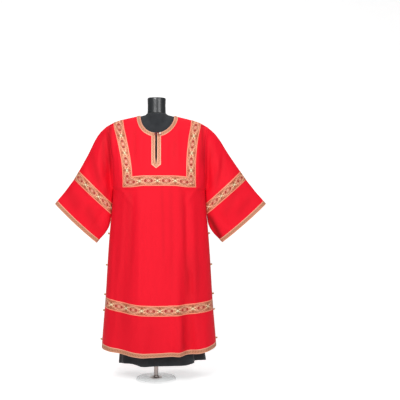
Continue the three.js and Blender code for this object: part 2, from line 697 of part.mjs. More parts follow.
// The cover's skirt: rings with a few soft flutes that grow towards the lower edge.
function coverSheet() {
  const around = 36;
  const grid = COVER.flatMap((row, n) => (n ? [(COVER[n - 1].z + row.z) / 2, row.z] : [row.z])).map(
    (z) => {
      const flare = smooth((COVER[0].z - z) / (COVER[0].z - COVER[COVER.length - 1].z));
      return Array.from({ length: around }, (unused, i) => {
        const angle = (i / around) * 2 * Math.PI;
        const [c, s] = [Math.cos(angle), Math.sin(angle)];
        const wide = read(COVER, "z", c < 0 ? "left" : "right", z);
        const deep = read(COVER, "z", s < 0 ? "front" : "back", z);
        const flute = 1 + (COVER_FLUTES.out / 150) * flare * Math.cos(COVER_FLUTES.count * angle + 0.6);
        const across = Math.sign(c) * Math.pow(Math.abs(c), 2 / TORSO_SQUARENESS);
        const forth = Math.sign(s) * Math.pow(Math.abs(s), 2 / TORSO_SQUARENESS);
        const x = wide * across * flute + HANG_OFFSET;
        return new THREE.Vector3(x, deep * forth * flute, z);
      });
    },
  );
  const normals = gridNormals(grid, true);
  const outward = normals[0][0].x > 0 ? 1 : -1;
  for (const row of normals) for (const n of row) n.multiplyScalar(outward);
  return { grid, normals, closed: true };
}
piece(form, "form_cover_skirt", cloth(coverSheet()), BLACK_COVER);

const pole = new THREE.CylinderGeometry(POLE.radius, POLE.radius, 1, 24);
pole.rotateX(Math.PI / 2);
const poleLow = FOOT.height + COLLAR.height + 2 * SEAM;
const poleHigh = TORSO[0].z - SEAM;
pole.scale(1, 1, poleHigh - poleLow);
pole.translate(0, 0, (poleHigh + poleLow) / 2);
piece(form, "stand_pole", pole, POLE_METAL);

const collar = turned(
  [
    [0, 0],
    [COLLAR.radius, 0],
    [COLLAR.radius, 3],
    [POLE.radius + 6, 6],
    [POLE.radius + 4, COLLAR.height],
    [0, COLLAR.height],
  ],
  24,
);
collar.translate(0, 0, FOOT.height + SEAM);
piece(form, "stand_collar", collar, POLE_METAL);

const foot = turned(
  [
    [0, 0],
    [FOOT.radius, 0],
    [FOOT.radius, FOOT.height - FOOT.bevel],
    [FOOT.radius - FOOT.bevel, FOOT.height],
    [0, FOOT.height],
  ],
  48,
);
piece(form, "stand_foot", foot, CLEAR_GLASS);

export default object;
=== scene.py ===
import math

import bmesh
import bpy
import numpy as np
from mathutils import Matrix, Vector


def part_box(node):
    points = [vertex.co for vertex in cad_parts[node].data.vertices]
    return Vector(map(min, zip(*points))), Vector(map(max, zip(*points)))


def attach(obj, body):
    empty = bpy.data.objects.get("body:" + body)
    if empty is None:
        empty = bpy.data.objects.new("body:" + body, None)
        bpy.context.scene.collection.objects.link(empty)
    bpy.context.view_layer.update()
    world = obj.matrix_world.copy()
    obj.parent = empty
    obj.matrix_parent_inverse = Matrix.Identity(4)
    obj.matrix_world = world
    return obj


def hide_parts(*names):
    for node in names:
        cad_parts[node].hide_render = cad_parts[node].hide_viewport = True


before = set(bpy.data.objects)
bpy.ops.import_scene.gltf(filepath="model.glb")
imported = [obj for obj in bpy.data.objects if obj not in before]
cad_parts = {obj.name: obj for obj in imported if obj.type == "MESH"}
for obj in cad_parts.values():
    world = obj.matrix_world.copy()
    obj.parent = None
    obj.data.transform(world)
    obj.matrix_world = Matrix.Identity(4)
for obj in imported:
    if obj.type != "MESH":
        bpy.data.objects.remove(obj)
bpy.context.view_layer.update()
scene = bpy.context.scene


# ---- the room -------------------------------------------------------------------------------------
# A seamless white studio cove with one large soft key light from the left of the camera, a weaker one
# from the right and an even white surround. The camera stands level, four metres off, turned a little
# to the wearer's left.
def shown(name, data):
    obj = bpy.data.objects.new(name, data)
    scene.collection.objects.link(obj)
    return obj


def aimed(name, data, place, target):
    obj = shown(name, data)
    obj.location = place
    obj.rotation_euler = (Vector(target) - Vector(place)).to_track_quat("-Z", "Y").to_euler()
    return obj


def wire_up(made, **inputs):
    """Sets a node's inputs, or wires them to sockets: a number after i, or a name with underscores."""
    for key, value in inputs.items():
        spot = made.inputs[int(key[1:]) if key[0] == "i" and key[1:].isdigit() else key.replace("_", " ")]
        value = getattr(value, "socket", value)
        if isinstance(value, bpy.types.NodeSocket):
            made.id_data.links.new(value, spot)
        else:
            spot.default_value = (*value, 1) if spot.type == "RGBA" else value
    return made


def node(tree, kind, settings=(), **inputs):
    made = tree.nodes.new(kind)
    for key, value in dict(settings).items():
        setattr(made, key, value)
    return wire_up(made, **inputs)


def between(value, low, high, **more):
    """A value from 0 to 1 taken to the span from low to high."""
    return node(value.id_data, "ShaderNodeMapRange", Value=value, To_Min=low, To_Max=high, **more).outputs[0]


def new_material(name):
    material = bpy.data.materials.new(name)
    material.use_nodes = True
    return material, material.node_tree, material.node_tree.nodes["Principled BSDF"]


def camera_ray(tree):
    return node(tree, "ShaderNodeLightPath").outputs["Is Camera Ray"]


camera_lens = bpy.data.cameras.new("camera")
camera_lens.angle = math.radians(32.5)
camera_lens.clip_end = 60
scene.camera = aimed("camera", camera_lens, (0, -4.115, 1.070), (0.263, 0, 1.070))

for light_name, place, target, width, watts in (
    ("key_light", (-1.0, -3.8, 3.3), (0, 0, 1.25), 1.5, 124),
    ("fill_light", (1.9, -3.7, 2.4), (0, 0, 1.15), 1.6, 40),
    ("top_light", (0.2, 0.3, 4.0), (0, 0, 1.0), 2.2, 34),
):
    lamp = bpy.data.lights.new(light_name, "AREA")
    lamp.shape, lamp.size, lamp.energy = "SQUARE", width, watts
    aimed(light_name, lamp, place, target)

surround = bpy.data.worlds.new("surround")
surround.use_nodes = True
wire_up(surround.node_tree.nodes["Background"], Color=(1, 1, 1),
        Strength=between(camera_ray(surround.node_tree), 0.19, 1.0))
scene.world = surround
scene.view_settings.view_transform = "Standard"

COVE_HALF, COVE_HIGH, COVE_BACK, COVE_BEND = 9, 9, 4.2, 1.6
cove_line = [(-COVE_HALF, 0)] + [
    (COVE_BACK - COVE_BEND * (1 - math.sin(a)), COVE_BEND * (1 - math.cos(a)))
    for a in np.linspace(0, math.pi / 2, 20)
] + [(COVE_BACK, COVE_HIGH)]
cove_mesh = bpy.data.meshes.new("studio_cove")
cove_mesh.from_pydata(
    [(x, y, z) for x in (-COVE_HALF, COVE_HALF) for y, z in cove_line], [],
    [(i, i + len(cove_line), i + len(cove_line) + 1, i + 1) for i in range(len(cove_line) - 1)],
)
cove_mesh.shade_smooth()
cove_paint, tree, shader = new_material("cove_paint")
wire_up(shader, Base_Color=(0.93, 0.93, 0.93), Roughness=1, Specular_IOR_Level=0,
        Emission_Color=(1, 1, 1), Emission_Strength=between(camera_ray(tree), 0.10, 0.55))
cove_mesh.materials.append(cove_paint)
shown("studio_cove", cove_mesh)


# ---- the stand ------------------------------------------------------------------------------------
# A thick clear glass disc with a polished edge, a turned collar screwed to it and a satin metal tube
# that carries the form. All three are turned round pieces.
FOOT_RADIUS, FOOT_HEIGHT = 0.118, 0.009
COLLAR_RADIUS, COLLAR_HEIGHT = 0.034, 0.012
POLE_RADIUS, POLE_GROOVE = 0.013, 0.0006
SEAT = 0.0003  # between pieces that stand on each other


def rounded(profile, corners):
    """The outline with the corners at the given numbers rounded off to the given radii."""
    for n, (x, z) in enumerate(profile):
        if n not in corners:
            yield x, z
            continue
        here, back, ahead = (np.array(profile[i]) for i in (n, n - 1, n + 1))
        start, end = (here + (at - here) / np.linalg.norm(at - here) * corners[n] for at in (back, ahead))
        for t in np.linspace(0, 1, 6):
            yield ((1 - t) ** 2 * start + 2 * t * (1 - t) * here + t * t * end).tolist()


def turned(name, profile, corners=(), around=96, squeeze=1.0, offset=(0, 0)):
    """A round solid from its half outline, (radius, height) from the bottom centre to the top centre."""
    angles = np.linspace(0, 2 * np.pi, around, endpoint=False)
    verts, faces, rings = [], [], []
    for radius, height in rounded(profile, dict(corners)):
        count = around if radius else 1
        rings.append([len(verts) + i % count for i in range(around)])
        verts += [
            (radius * math.cos(a) + offset[0], radius * math.sin(a) * squeeze + offset[1], height)
            for a in angles[:count]
        ]
    for low, high in zip(rings, rings[1:]):
        for i in range(around):
            j = (i + 1) % around
            face = list(dict.fromkeys((low[i], low[j], high[j], high[i])))
            if len(face) > 2:
                faces.append(face)
    mesh = bpy.data.meshes.new(name)
    mesh.from_pydata(verts, [], faces)
    mesh.shade_smooth()
    return shown(name, mesh)


def finish(obj, material, slot, *nodes):
    """Gives a piece its material and lets it ride with the body, in the place of its CAD nodes."""
    obj.data.materials.clear()
    obj.data.materials.append(material)
    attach(obj, "root")
    if nodes:
        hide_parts(*nodes)


def maths(operation, *values):
    """One Math node, in the tree of the first value that is wired."""
    tree = next(value.id_data for value in values if hasattr(value, "id_data"))
    inputs = {f"i{n}": value for n, value in enumerate(values)}
    return Wire(node(tree, "ShaderNodeMath", {"operation": operation}, **inputs).outputs[0])


class Wire:
    """A value in a material that can be reckoned with: every step is one Math node."""

    def __init__(self, socket):
        self.socket, self.id_data = socket, socket.id_data

    def folded(self, at):
        """Runs up to a value and down again, over and over."""
        return maths("PINGPONG", self, at)


for sign, operation in (("add", "ADD"), ("sub", "SUBTRACT"), ("mul", "MULTIPLY"), ("truediv", "DIVIDE"),
                        ("pow", "POWER"), ("abs", "ABSOLUTE")):
    setattr(Wire, f"__{sign}__", lambda *values, operation=operation: maths(operation, *values))
Wire.__rsub__ = lambda value, other: maths("SUBTRACT", other, value)


def blend(share, first, second):
    """One colour laid over another by a share."""
    mixed = node(share.id_data, "ShaderNodeMix", {"data_type": "RGBA"}, i0=share, i6=first, i7=second)
    return mixed.outputs[2]


def object_place(tree):
    return node(tree, "ShaderNodeTexCoord").outputs["Object"]


def stretched(place, scale):
    return node(place.id_data, "ShaderNodeMapping", Vector=place, Scale=scale).outputs[0]


def noise(place, scale, detail=2.0, **more):
    made = node(place.id_data, "ShaderNodeTexNoise", Vector=place, Scale=scale, Detail=detail, **more)
    return Wire(made.outputs["Fac"])


def waves(place, way, scale, **more):
    """Even bands across one way of the cloth or cord."""
    made = node(place.id_data, "ShaderNodeTexWave", {"bands_direction": way},
                Vector=place, Scale=scale, **more)
    return Wire(made.outputs["Fac"])


def bump(height, strength, deep):
    return node(height.id_data, "ShaderNodeBump", Height=height, Strength=strength, Distance=deep).outputs[0]


clear_glass, tree, shader = new_material("clear_glass")
rim = Wire(node(tree, "ShaderNodeLayerWeight", Blend=0.5).outputs["Facing"])
wire_up(shader, Base_Color=(0.80, 0.85, 0.86), IOR=1.5, Alpha=between(rim**3.0, 0.045, 0.85),
        Roughness=between(noise(object_place(tree), 22.0, 3.0), 0.02, 0.09))
foot_line = [(0, 0), (FOOT_RADIUS, 0), (FOOT_RADIUS, FOOT_HEIGHT), (0, FOOT_HEIGHT)]
foot = turned("glass_foot", foot_line, {1: 0.0015, 2: 0.0028}, 160)
finish(foot, clear_glass, "foot_glass", "stand_foot")

satin_metal, tree, shader = new_material("satin_metal")
place = object_place(tree)
brush = noise(stretched(place, (1, 1, 30)), 60.0, 4.0)
wire_up(shader, Base_Color=blend(noise(place, 9.0), (0.58, 0.49, 0.46), (0.74, 0.66, 0.63)), Metallic=0.85,
        Roughness=between(brush, 0.24, 0.42), Normal=bump(brush, 0.12, 0.0002))
collar_foot = FOOT_HEIGHT + SEAT
collar_line = [
    (0, collar_foot), (COLLAR_RADIUS, collar_foot), (COLLAR_RADIUS, collar_foot + 0.0032),
    (0.0195, collar_foot + 0.0058), (0.0172, collar_foot + COLLAR_HEIGHT), (0, collar_foot + COLLAR_HEIGHT),
]
collar = turned("pole_collar", collar_line, {2: 0.001, 3: 0.002, 4: 0.0012})
finish(collar, satin_metal, "pole_metal", "stand_collar")
pole_low, pole_high = (corner.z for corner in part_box("stand_pole"))
pole_line = [
    (0, pole_low), (POLE_RADIUS, pole_low), (POLE_RADIUS, pole_low + 0.30),
    (POLE_RADIUS - POLE_GROOVE, pole_low + 0.3004), (POLE_RADIUS - POLE_GROOVE, pole_low + 0.3016),
    (POLE_RADIUS, pole_low + 0.302), (POLE_RADIUS, pole_high), (0, pole_high),
]
pole = turned("stand_pole_tube", pole_line, {1: 0.0006, 6: 0.0006}, 64)
finish(pole, satin_metal, "pole_metal", "stand_pole")


# ---- the dress form -------------------------------------------------------------------------------
# A limbless padded torso in a black knitted cover, with a glossy turned cap on the neck. The cover
# falls from the hips as a flared skirt with a turned hem, which shows below the vestment.
HANG = 7.0  # the form's shoulders and the vestment hang this far from the pole's axis, in millimetres
SHOULDER_LINE = ((0, 1587), (60, 1583), (126, 1567), (200, 1549), (256, 1530), (300, 1508))
SHOULDER_X, SHOULDER_Z, YOKE_TOP_Z = 300.0, 1508.0, 1212.0
WAIST_Z = 760  # the torso's lower end


def by_height(heights, **widths):
    """Tables of (height, width) rows that share their heights."""
    return {name: tuple(zip(heights, row)) for name, row in widths.items()}


TORSO = by_height(
    (760, 860, 960, 1090, 1230, 1340, 1430, 1500, 1620),
    half=(146, 160, 164, 148, 168, 184, 205, 222, 238),
    front=(92, 100, 103, 96, 104, 106, 98, 90, 84),
    back=(98, 108, 110, 96, 102, 106, 104, 98, 92),
)
COVER = by_height(
    (112, 300, 560, 820, 940),
    left=(222, 210, 198, 176, 166), right=(276, 246, 214, 178, 166),
    front=(150, 140, 128, 116, 105), back=(104, 96, 112, 122, 112),
)
NECK_OVAL = {"squeeze": 0.74, "offset": (0.003, -0.005)}


def hermite(t, run, low, high, slope_low, slope_high):
    """A cubic from one value to the next, with the given slopes at its ends."""
    return (
        (2 * t**3 - 3 * t**2 + 1) * low + (t**3 - 2 * t**2 + t) * run * slope_low
        + (3 * t**2 - 2 * t**3) * high + (t**3 - t**2) * run * slope_high
    )


def read(table, at):
    """A smooth curve through a table's (place, value) rows."""
    x, y = np.array(table, float).T
    step = np.diff(y) / np.diff(x)
    slope = np.concatenate([step[:1], (y[2:] - y[:-2]) / (x[2:] - x[:-2]), step[-1:]])
    at = np.clip(at, x[0], x[-1])
    k = np.clip(np.searchsorted(x, at, side="left") - 1, 0, len(x) - 2)
    run = x[k + 1] - x[k]
    return hermite((at - x[k]) / run, run, y[k], y[k + 1], slope[k], slope[k + 1])


def ease(t):
    t = np.clip(t, 0, 1)
    return t * t * (3 - 2 * t)


def shoulder_height(x):
    return read(SHOULDER_LINE, np.abs(x))


def fullness(z, ridge):
    """How full chest or back is, from 1 at the yoke's level braid to 0 on the shoulder line."""
    share = np.clip((z - YOKE_TOP_Z) / (ridge - YOKE_TOP_Z), 0, 1)
    return (1 - share**1.5) ** (1 / 1.7)


def applied(obj):
    """Turns the object's modifiers into its mesh."""
    bpy.context.view_layer.update()
    graph = bpy.context.evaluated_depsgraph_get()
    made = bpy.data.meshes.new_from_object(
        obj.evaluated_get(graph), preserve_all_data_layers=True, depsgraph=graph
    )
    obj.modifiers.clear()
    obj.data = made
    return obj


knit, tree, shader = new_material("black_knit")
place = object_place(tree)
rib = waves(place, "X", 170.0, Distortion=0.6, Detail=1.0)
wire_up(shader, Base_Color=blend(noise(place, 35.0, 5.0), (0.010, 0.012, 0.015), (0.034, 0.038, 0.043)),
        Roughness=0.82, Specular_IOR_Level=0.35, Sheen_Weight=0.25, Sheen_Roughness=0.5,
        Normal=bump(rib * waves(place, "Z", 210.0), 0.35, 0.0006))

# Front and back shells meet at the shoulder line and the sides, and the oval neck stands on them.
shell = bmesh.new()
shares = np.sin(np.linspace(-np.pi / 2, np.pi / 2, 81))
rows = np.concatenate([1 - np.linspace(0, 1, 40) ** 1.8, -np.linspace(0.02, 1, 48)])
share, row = np.meshgrid(shares, rows)
ridge = shoulder_height(share * read(TORSO["half"], SHOULDER_Z)) - 3.2 - np.abs(share) ** 8 * 26
z = YOKE_TOP_Z + row * np.where(row >= 0, ridge - YOKE_TOP_Z, YOKE_TOP_Z - WAIST_Z)
x = read(TORSO["half"], z) * share + HANG
crown = np.clip(1 - np.abs(share) ** 2.2, 0, 1) ** (1 / 2.2)
for panel, sign in (("front", -1), ("back", 1)):
    y = sign * read(TORSO[panel], z) * fullness(z, ridge) * crown
    verts = [[shell.verts.new(at) for at in line] for line in np.stack([x, y, z], axis=-1) / 1000]
    for upper, lower in zip(verts, verts[1:]):
        for i in range(len(shares) - 1):
            shell.faces.new((upper[i], lower[i], lower[i + 1], upper[i + 1])[::-sign])
bmesh.ops.remove_doubles(shell, verts=shell.verts, dist=2e-5)
bmesh.ops.holes_fill(shell, edges=[e for e in shell.edges if e.is_boundary], sides=0)
bmesh.ops.triangulate(shell, faces=[f for f in shell.faces if len(f.verts) > 4])
cap_low, cap_high = (corner.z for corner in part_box("form_neck_cap"))
neck = turned(
    "form_neck",
    [(0, 1.45), (0.046, 1.46), (0.050, 1.50), (0.055, 1.54), (0.0585, 1.565),
     (0.0625, cap_low - 0.0024), (0.0615, cap_low - SEAT), (0, cap_low - SEAT)],
    around=80, **NECK_OVAL,
)
shell.from_mesh(neck.data)
bpy.data.objects.remove(neck)
torso = shown("form_torso_padded", bpy.data.meshes.new("form_torso_padded"))
shell.to_mesh(torso.data)
shell.free()
for kind, settings in (
    ("REMESH", {"mode": "VOXEL", "voxel_size": 0.005, "use_smooth_shade": True}),
    ("SMOOTH", {"factor": 0.5, "iterations": 9}),
):
    modifier = torso.modifiers.new(kind.lower(), kind)
    for key, value in settings.items():
        setattr(modifier, key, value)
applied(torso)
finish(torso, knit, "form_cover", "form_torso")

gloss, tree, shader = new_material("black_gloss")
place = object_place(tree)
dust = between(noise(place, 140.0, 6.0, Roughness=0.7), 0.0, 1.0, From_Min=0.62, From_Max=0.78)
wire_up(shader, Base_Color=blend(dust, (0.016, 0.019, 0.021), (0.10, 0.105, 0.11)),
        Roughness=between(noise(place, 14.0), 0.24, 0.42), Coat_Weight=0.5, Coat_Roughness=0.20)
cap_line = [
    (0, cap_low), (0.055, cap_low), (0.0548, cap_low + 0.006), (0.0534, (cap_low + cap_high) / 2),
    (0.055, cap_high - 0.0105), (0.0545, cap_high - 0.0015), (0.030, cap_high), (0, cap_high),
]
cap = turned("neck_cap", cap_line, {1: 0.0016, 5: 0.0075}, 112, **NECK_OVAL)
finish(cap, gloss, "neck_cap", "form_neck_cap")

# The cover's skirt is cut as a flared tube. Its flutes deepen towards the hem, which is turned up and
# stitched, and hangs higher on the wearer's left.
COVER_ROUND, COVER_DOWN, COVER_TOP_Z, FLARED_Z, COVER_HEM_Z = 260, 120, 940, 112, 108
angle, down = np.meshgrid(
    np.linspace(0, 2 * np.pi, COVER_ROUND, endpoint=False), np.linspace(0, 1, COVER_DOWN)
)
hem_lift = 7 * ease((np.cos(angle) - 0.45) / 0.35) + 8 * np.cos(3 * angle + 1.1) * ease(-np.sin(angle) * 2)
z = COVER_TOP_Z - down * (COVER_TOP_Z - COVER_HEM_Z - hem_lift.clip(0))
flute = 1 + ease((COVER_TOP_Z - z) / (COVER_TOP_Z - FLARED_Z)) * (
    0.052 * np.cos(7 * angle + 0.6) + 0.024 * np.cos(11 * angle + 2.1) + 0.012 * np.cos(17 * angle)
)
c, s = np.cos(angle), np.sin(angle)
wide = np.where(c < 0, read(COVER["left"], z), read(COVER["right"], z))
deep = np.where(s < 0, read(COVER["front"], z), read(COVER["back"], z))
x = wide * np.sign(c) * np.abs(c) ** (2 / 2.2) * flute + HANG
y = deep * np.sign(s) * np.abs(s) ** (2 / 2.2) * flute



def cells(number):
    """The four corners of every cell of a grid."""
    corners = number[:-1, :-1], number[1:, :-1], number[1:, 1:], number[:-1, 1:]
    return np.stack(corners, axis=-1).reshape(-1, 4)


number = np.arange(z.size).reshape(z.shape)
number = np.concatenate([number, number[:, :1]], axis=1)
cover_mesh = bpy.data.meshes.new("form_cover_flare")
cover_mesh.from_pydata(
    (np.stack([x, y, z], axis=-1).reshape(-1, 3) / 1000).tolist(), [], cells(number).tolist()
)
cover_mesh.shade_smooth()
cover = shown("form_cover_flare", cover_mesh)
wall = cover.modifiers.new("wall", "SOLIDIFY")
wall.thickness, wall.offset, wall.use_even_offset = 0.0014, -1, False
applied(cover)
finish(cover, knit, "form_cover", "form_cover_skirt")


# ---- front and back of the vestment ---------------------------------------------------------------
# Two straight flared lengths of red twill, sewn together over the shoulders and open at the sides
# below the underarm. The neck and its slit are cut out of the front, a shallow curve out of the back.
BODY = by_height(
    (140, 440, 760, 1130, 1300, 1430, 1508, 1620),
    half=(345, 319, 300, 273, 269, 282, 300, 318),
    front=(208, 190, 166, 146, 137, 134, 131, 130),
    back=(216, 196, 170, 144, 136, 134, 131, 130),
)
# Where the columns of the cut run, as shares of the half width, on the shoulder line and below the yoke.
COLUMN_TOP = (0, 0.13, 0.27, 0.4, 0.53, 0.66, 0.76, 0.86, 0.94, 0.985, 1)
COLUMN_LOW = (0, 0.12, 0.24, 0.35, 0.46, 0.575, 0.68, 0.785, 0.9, 1, 1)
YOKE_IN, BAND_END, SLIT_BRAID, SIDE = 5, 8.97, 9, 10
ROW_UP = (1, 0.985, 0.945, 0.87, 0.74, 0.55, 0.3, 0)
ROW_DOWN = (1152, 1130, 1110, 1000, 880, 760, 650, 555, 470, 410, 330, 255)
YOKE_TOP, YOKE_LOW, SLIT_TOP, BAND_TOP, ROW_LOW, HEM_BRAID, HEM = 7, 8, 11.45, 16, 19, 20, 21
UNDERARM_Z, YOKE_LOW_Z, HEM_Z, HEM_RISE = 1130.0, 1152.0, 175.0, 26.0
SQUARENESS = 2.4
CLOTH, NARROW, WIDE = 1.4, 24, 60  # how thick the cloth and how wide the two braids are
# The big soft folds that the skirt hangs in: place across, spread, depth at the hem, starting height.
FOLDS = {
    "front": ((0.51, 0.19, -46, 980), (0.82, 0.15, 16, 1050), (-0.66, 0.2, -22, 1120), (-0.34, 0.2, 12, 1100),
              (0.32, 0.14, 16, 800)),
    "back": ((-0.06, 0.34, -92, 1180), (0.55, 0.2, 10, 900), (-0.52, 0.2, 14, 900)),
}
# Smaller creases, drawn as lines: from x, z to x, z, half width, and how far out or in they stand.
CREASES = {
    "front": (
        (-148, 1190, -172, 560, 15, -8), (-108, 1170, -118, 380, 24, 7),
        (152, 1180, 160, 620, 15, -9), (196, 1160, 214, 420, 20, 8),
        (176, 700, 184, 480, 13, -7), (-206, 1160, -232, 500, 17, 6),
        (-30, 1140, -44, 620, 30, 3), (64, 1120, 92, 260, 34, -4),
        (-208, 1210, -240, 240, 54, -19), (216, 1210, 252, 240, 46, -14),
        (-250, 900, -276, 240, 13, -6), (-60, 400, -90, 190, 26, 5), (126, 430, 128, 180, 14, 9),
        (-128, 1500, -150, 1240, 15, -4), (-92, 1490, -104, 1225, 17, 4),
        (120, 1530, 112, 1260, 17, 4), (76, 1430, 62, 1230, 12, -3),
        (238, 1440, 228, 1180, 9, 4), (-238, 1440, -228, 1170, 9, 4),
        (252, 1180, 140, 1030, 15, 5), (-252, 1170, -140, 1010, 15, 5),
    ),
    "back": (
        (-60, 1500, -96, 1240, 18, -2.5), (75, 1500, 108, 1240, 20, -2.5),
        (-200, 1130, -236, 300, 20, 5), (-128, 1130, -150, 620, 16, -4),
        (180, 1130, 214, 300, 22, 5), (120, 1120, 132, 520, 15, -4),
        (238, 1430, 226, 1170, 9, 2.5), (-238, 1430, -226, 1170, 9, 2.5),
        (-250, 1150, -110, 990, 18, 3), (250, 1150, 120, 1000, 17, 3),
    ),
}
# Painted shade: where the twill's red is darkened to stand for the shade in its folds and creases,
# at the armholes and under the sleeves, as lines again: the last number is how dark, up to 1.
FOLD_SHADE_LINES = {
    "front": (
        (-198, 1330, -212, 90, 56, 0.15), (-148, 1240, -152, 520, 14, 0.18), (-252, 1240, -268, 100, 24, 0.08),
        (138, 1260, 186, 430, 15, 0.22), (202, 880, 172, 0, 50, 0.22), (252, 1300, 268, 40, 32, 0.10),
        (-190, 520, -180, 40, 92, 0.10), (-40, 520, -30, 40, 90, 0.12), (30, 1260, 46, 640, 10, 0.12),
        (84, 1260, 92, 500, 12, 0.12), (-274, 1600, -268, 1200, 12, 0.55), (278, 1600, 268, 1220, 12, 0.45),
        (-120, 1540, -128, 1280, 14, 0.14), (116, 1500, 100, 1280, 14, 0.12),
    ),
    "back": (
        (-208, 1250, -226, 90, 44, 0.2), (208, 1250, 226, 90, 44, 0.2), (0, 1180, -18, 60, 64, 0.22),
        (-130, 1130, -150, 520, 14, 0.18), (124, 1120, 140, 420, 14, 0.18),
    ),
    "right": (
        (-282, 1600, -270, 1190, 14, 0.55), (-318, 1540, -296, 1140, 15, 0.30),
        (-392, 1400, -322, 1120, 18, 0.26), (-300, 1180, -286, 980, 18, 0.3),
        (-560, 1200, -440, 990, 34, 0.22), (-420, 1060, -330, 860, 30, 0.22),
        (-470, 1250, -380, 1060, 20, 0.14),
    ),
    "left": (
        (284, 1600, 274, 1220, 12, 0.5), (292, 1020, 420, 780, 17, 0.95), (330, 1440, 300, 1120, 16, 0.2),
        (420, 1380, 330, 1110, 20, 0.16), (500, 1180, 380, 930, 26, 0.16), (590, 1110, 460, 960, 22, 0.14),
    ),
}


def armhole(z):
    share = (z - (SHOULDER_Z + UNDERARM_Z) / 2) / ((SHOULDER_Z - UNDERARM_Z) / 2)
    return 70 * np.sqrt(np.clip(1 - share**2, 0, None))


def hung(x, z):
    """The vestment leans a little to the wearer's left as it falls."""
    return x + 12 * ease((SHOULDER_Z - z) / 350) + HANG


def slit_gap(z):
    return 0.3 + 7.7 * ease((UNDERARM_Z - z) / (UNDERARM_Z - HEM_Z))


def creases_out(lines, x, z):
    out = np.zeros_like(x)
    for x0, z0, x1, z1, width, amount in lines:
        run = np.array((x1 - x0, z1 - z0), float)
        t = ((x - x0) * run[0] + (z - z0) * run[1]) / (run @ run)
        off = np.abs((x - x0) * run[1] - (z - z0) * run[0]) / np.sqrt(run @ run)
        out += amount * ease(t / 0.3) * ease((1 - t) / 0.3) * np.exp(-((off / width) ** 2))
    return out


def ripple(x, z, seed):
    """Small irregular waves that keep a hanging cloth from being perfectly even."""
    random = np.random.default_rng(seed)
    out = np.zeros_like(x)
    for length in (230, 170, 120, 90, 66, 48):
        tilt = random.normal(0, 0.2)
        phase, size = random.uniform(0, 6.28), random.uniform(0.6, 1.2)
        across = 6.283 * (x * math.cos(tilt) + z * math.sin(tilt)) / length
        out += size * (length / 230) * np.sin(across + phase + 1.4 * np.sin(z / 160 + phase))
    return out


def body(panel, column, row):
    """A point of the outer face of front or back, from its column and row on the cut."""
    column, row = np.broadcast_arrays(np.asarray(column, float), np.asarray(row, float))
    side, number = np.where(column < 0, -1.0, 1.0), np.abs(column)
    front = panel == "front"
    top, low = (np.interp(number, range(11), shares) for shares in (COLUMN_TOP, COLUMN_LOW))
    ridge = shoulder_height(top * SHOULDER_X)
    hem = HEM_Z + HEM_RISE * low**2
    above = YOKE_TOP_Z + (ridge - YOKE_TOP_Z) * np.interp(row, range(8), ROW_UP)
    middle = np.interp(row, range(YOKE_TOP, HEM_BRAID), (YOKE_TOP_Z, *ROW_DOWN))
    last = ROW_DOWN[-1]
    end = np.where(row < HEM_BRAID, last + (hem + NARROW - last) * (row - ROW_LOW), hem + NARROW * (HEM - row))
    z = np.where(row <= YOKE_TOP, above, np.where(row <= ROW_LOW, middle, end))
    braid_edge = (1 - (NARROW / read(BODY[panel], z)) ** SQUARENESS) ** (1 / SQUARENESS)
    low = np.where(number > 9, braid_edge + (1 - braid_edge) * (number - 9),
                   np.where(number > 8, 0.9 + (braid_edge - 0.9) * (number - 8), low))
    share = top + (low - top) * ease((ridge - z) / (ridge - YOKE_LOW_Z))
    folds = 0
    for at, spread, out, start in FOLDS[panel]:
        off = np.clip(np.abs(side * share - at) / spread, 0, 1)
        down = np.clip((start - z) / (start - HEM_Z), 0, 1)
        folds = folds + out * np.cos(off * np.pi / 2) ** 2 * down**1.3
    x = read(BODY["half"], z) * share * side
    depth = read(BODY[panel], z) * fullness(z, ridge) + folds
    rim = armhole(z)
    crown = np.clip(1 - share**SQUARENESS, 0, 1) ** (1 / SQUARENESS)
    held = ease((1 - share) / 0.07) * ease((ridge - z) / 70)
    wavy = ripple(x, z, 5 if front else 8) * (0.35 + 0.65 * ease((1150 - z) / 500))
    y = rim + np.clip(depth - rim, 0, None) * crown + slit_gap(z)
    y = y + held * (creases_out(CREASES[panel], x, z) + wavy)
    # The skirt is lifted towards both sides, so its galloon runs in a shallow curve.
    lifted = np.where(side < 0, 36, 18) * low**2 - 5
    z = z + lifted * ease((row - 8) / 6) * ease((21 - row) / 3.5)
    # The yoke's corners sag a little, and the hem is never quite level.
    z = z - 9 * ease((number - 2.5) / 3) * ease((9 - number) / 1.5) * np.exp(-(((row - 7.7) / 0.9) ** 2))
    z = z + np.where(row > 17, (row - 17) / 4, 0) * 3.0 * np.sin(side * share * 7 + (0.4 if front else 2.0))
    return np.stack([hung(x, z), -y if front else y, z], axis=-1)


def body_normal(panel, column, row, step=0.03):
    """Unit normals of front or back, measured with small steps."""
    column, row = np.broadcast_arrays(np.asarray(column, float), np.asarray(row, float))
    left, right = (np.clip(column + turn, -SIDE, SIDE) for turn in (-step, step))
    up, down = (np.clip(row + turn, 0, HEM) for turn in (-step, step))
    normal = np.cross(body(panel, column, down) - body(panel, column, up),
                      body(panel, right, row) - body(panel, left, row)) * (1 if panel == "front" else -1)
    normal /= np.linalg.norm(normal, axis=-1, keepdims=True).clip(1e-9)
    flat = (row < 0.02) | ((row > 8.5) & (np.abs(column) > SIDE - 0.02))
    normal[..., 1] = np.where(flat, 0, normal[..., 1])
    return normal / np.linalg.norm(normal, axis=-1, keepdims=True)


def flat_pattern(points):
    """Distances along a grid's rows and columns, in millimetres: the piece laid flat."""
    across, along = (
        np.pad(np.cumsum(np.linalg.norm(np.diff(points, axis=axis), axis=-1), axis=axis),
               [(1 - axis, 0), (axis, 0)]) for axis in (1, 0)
    )
    return np.stack([across - across[:, points.shape[1] // 2][:, None], -along], axis=-1)


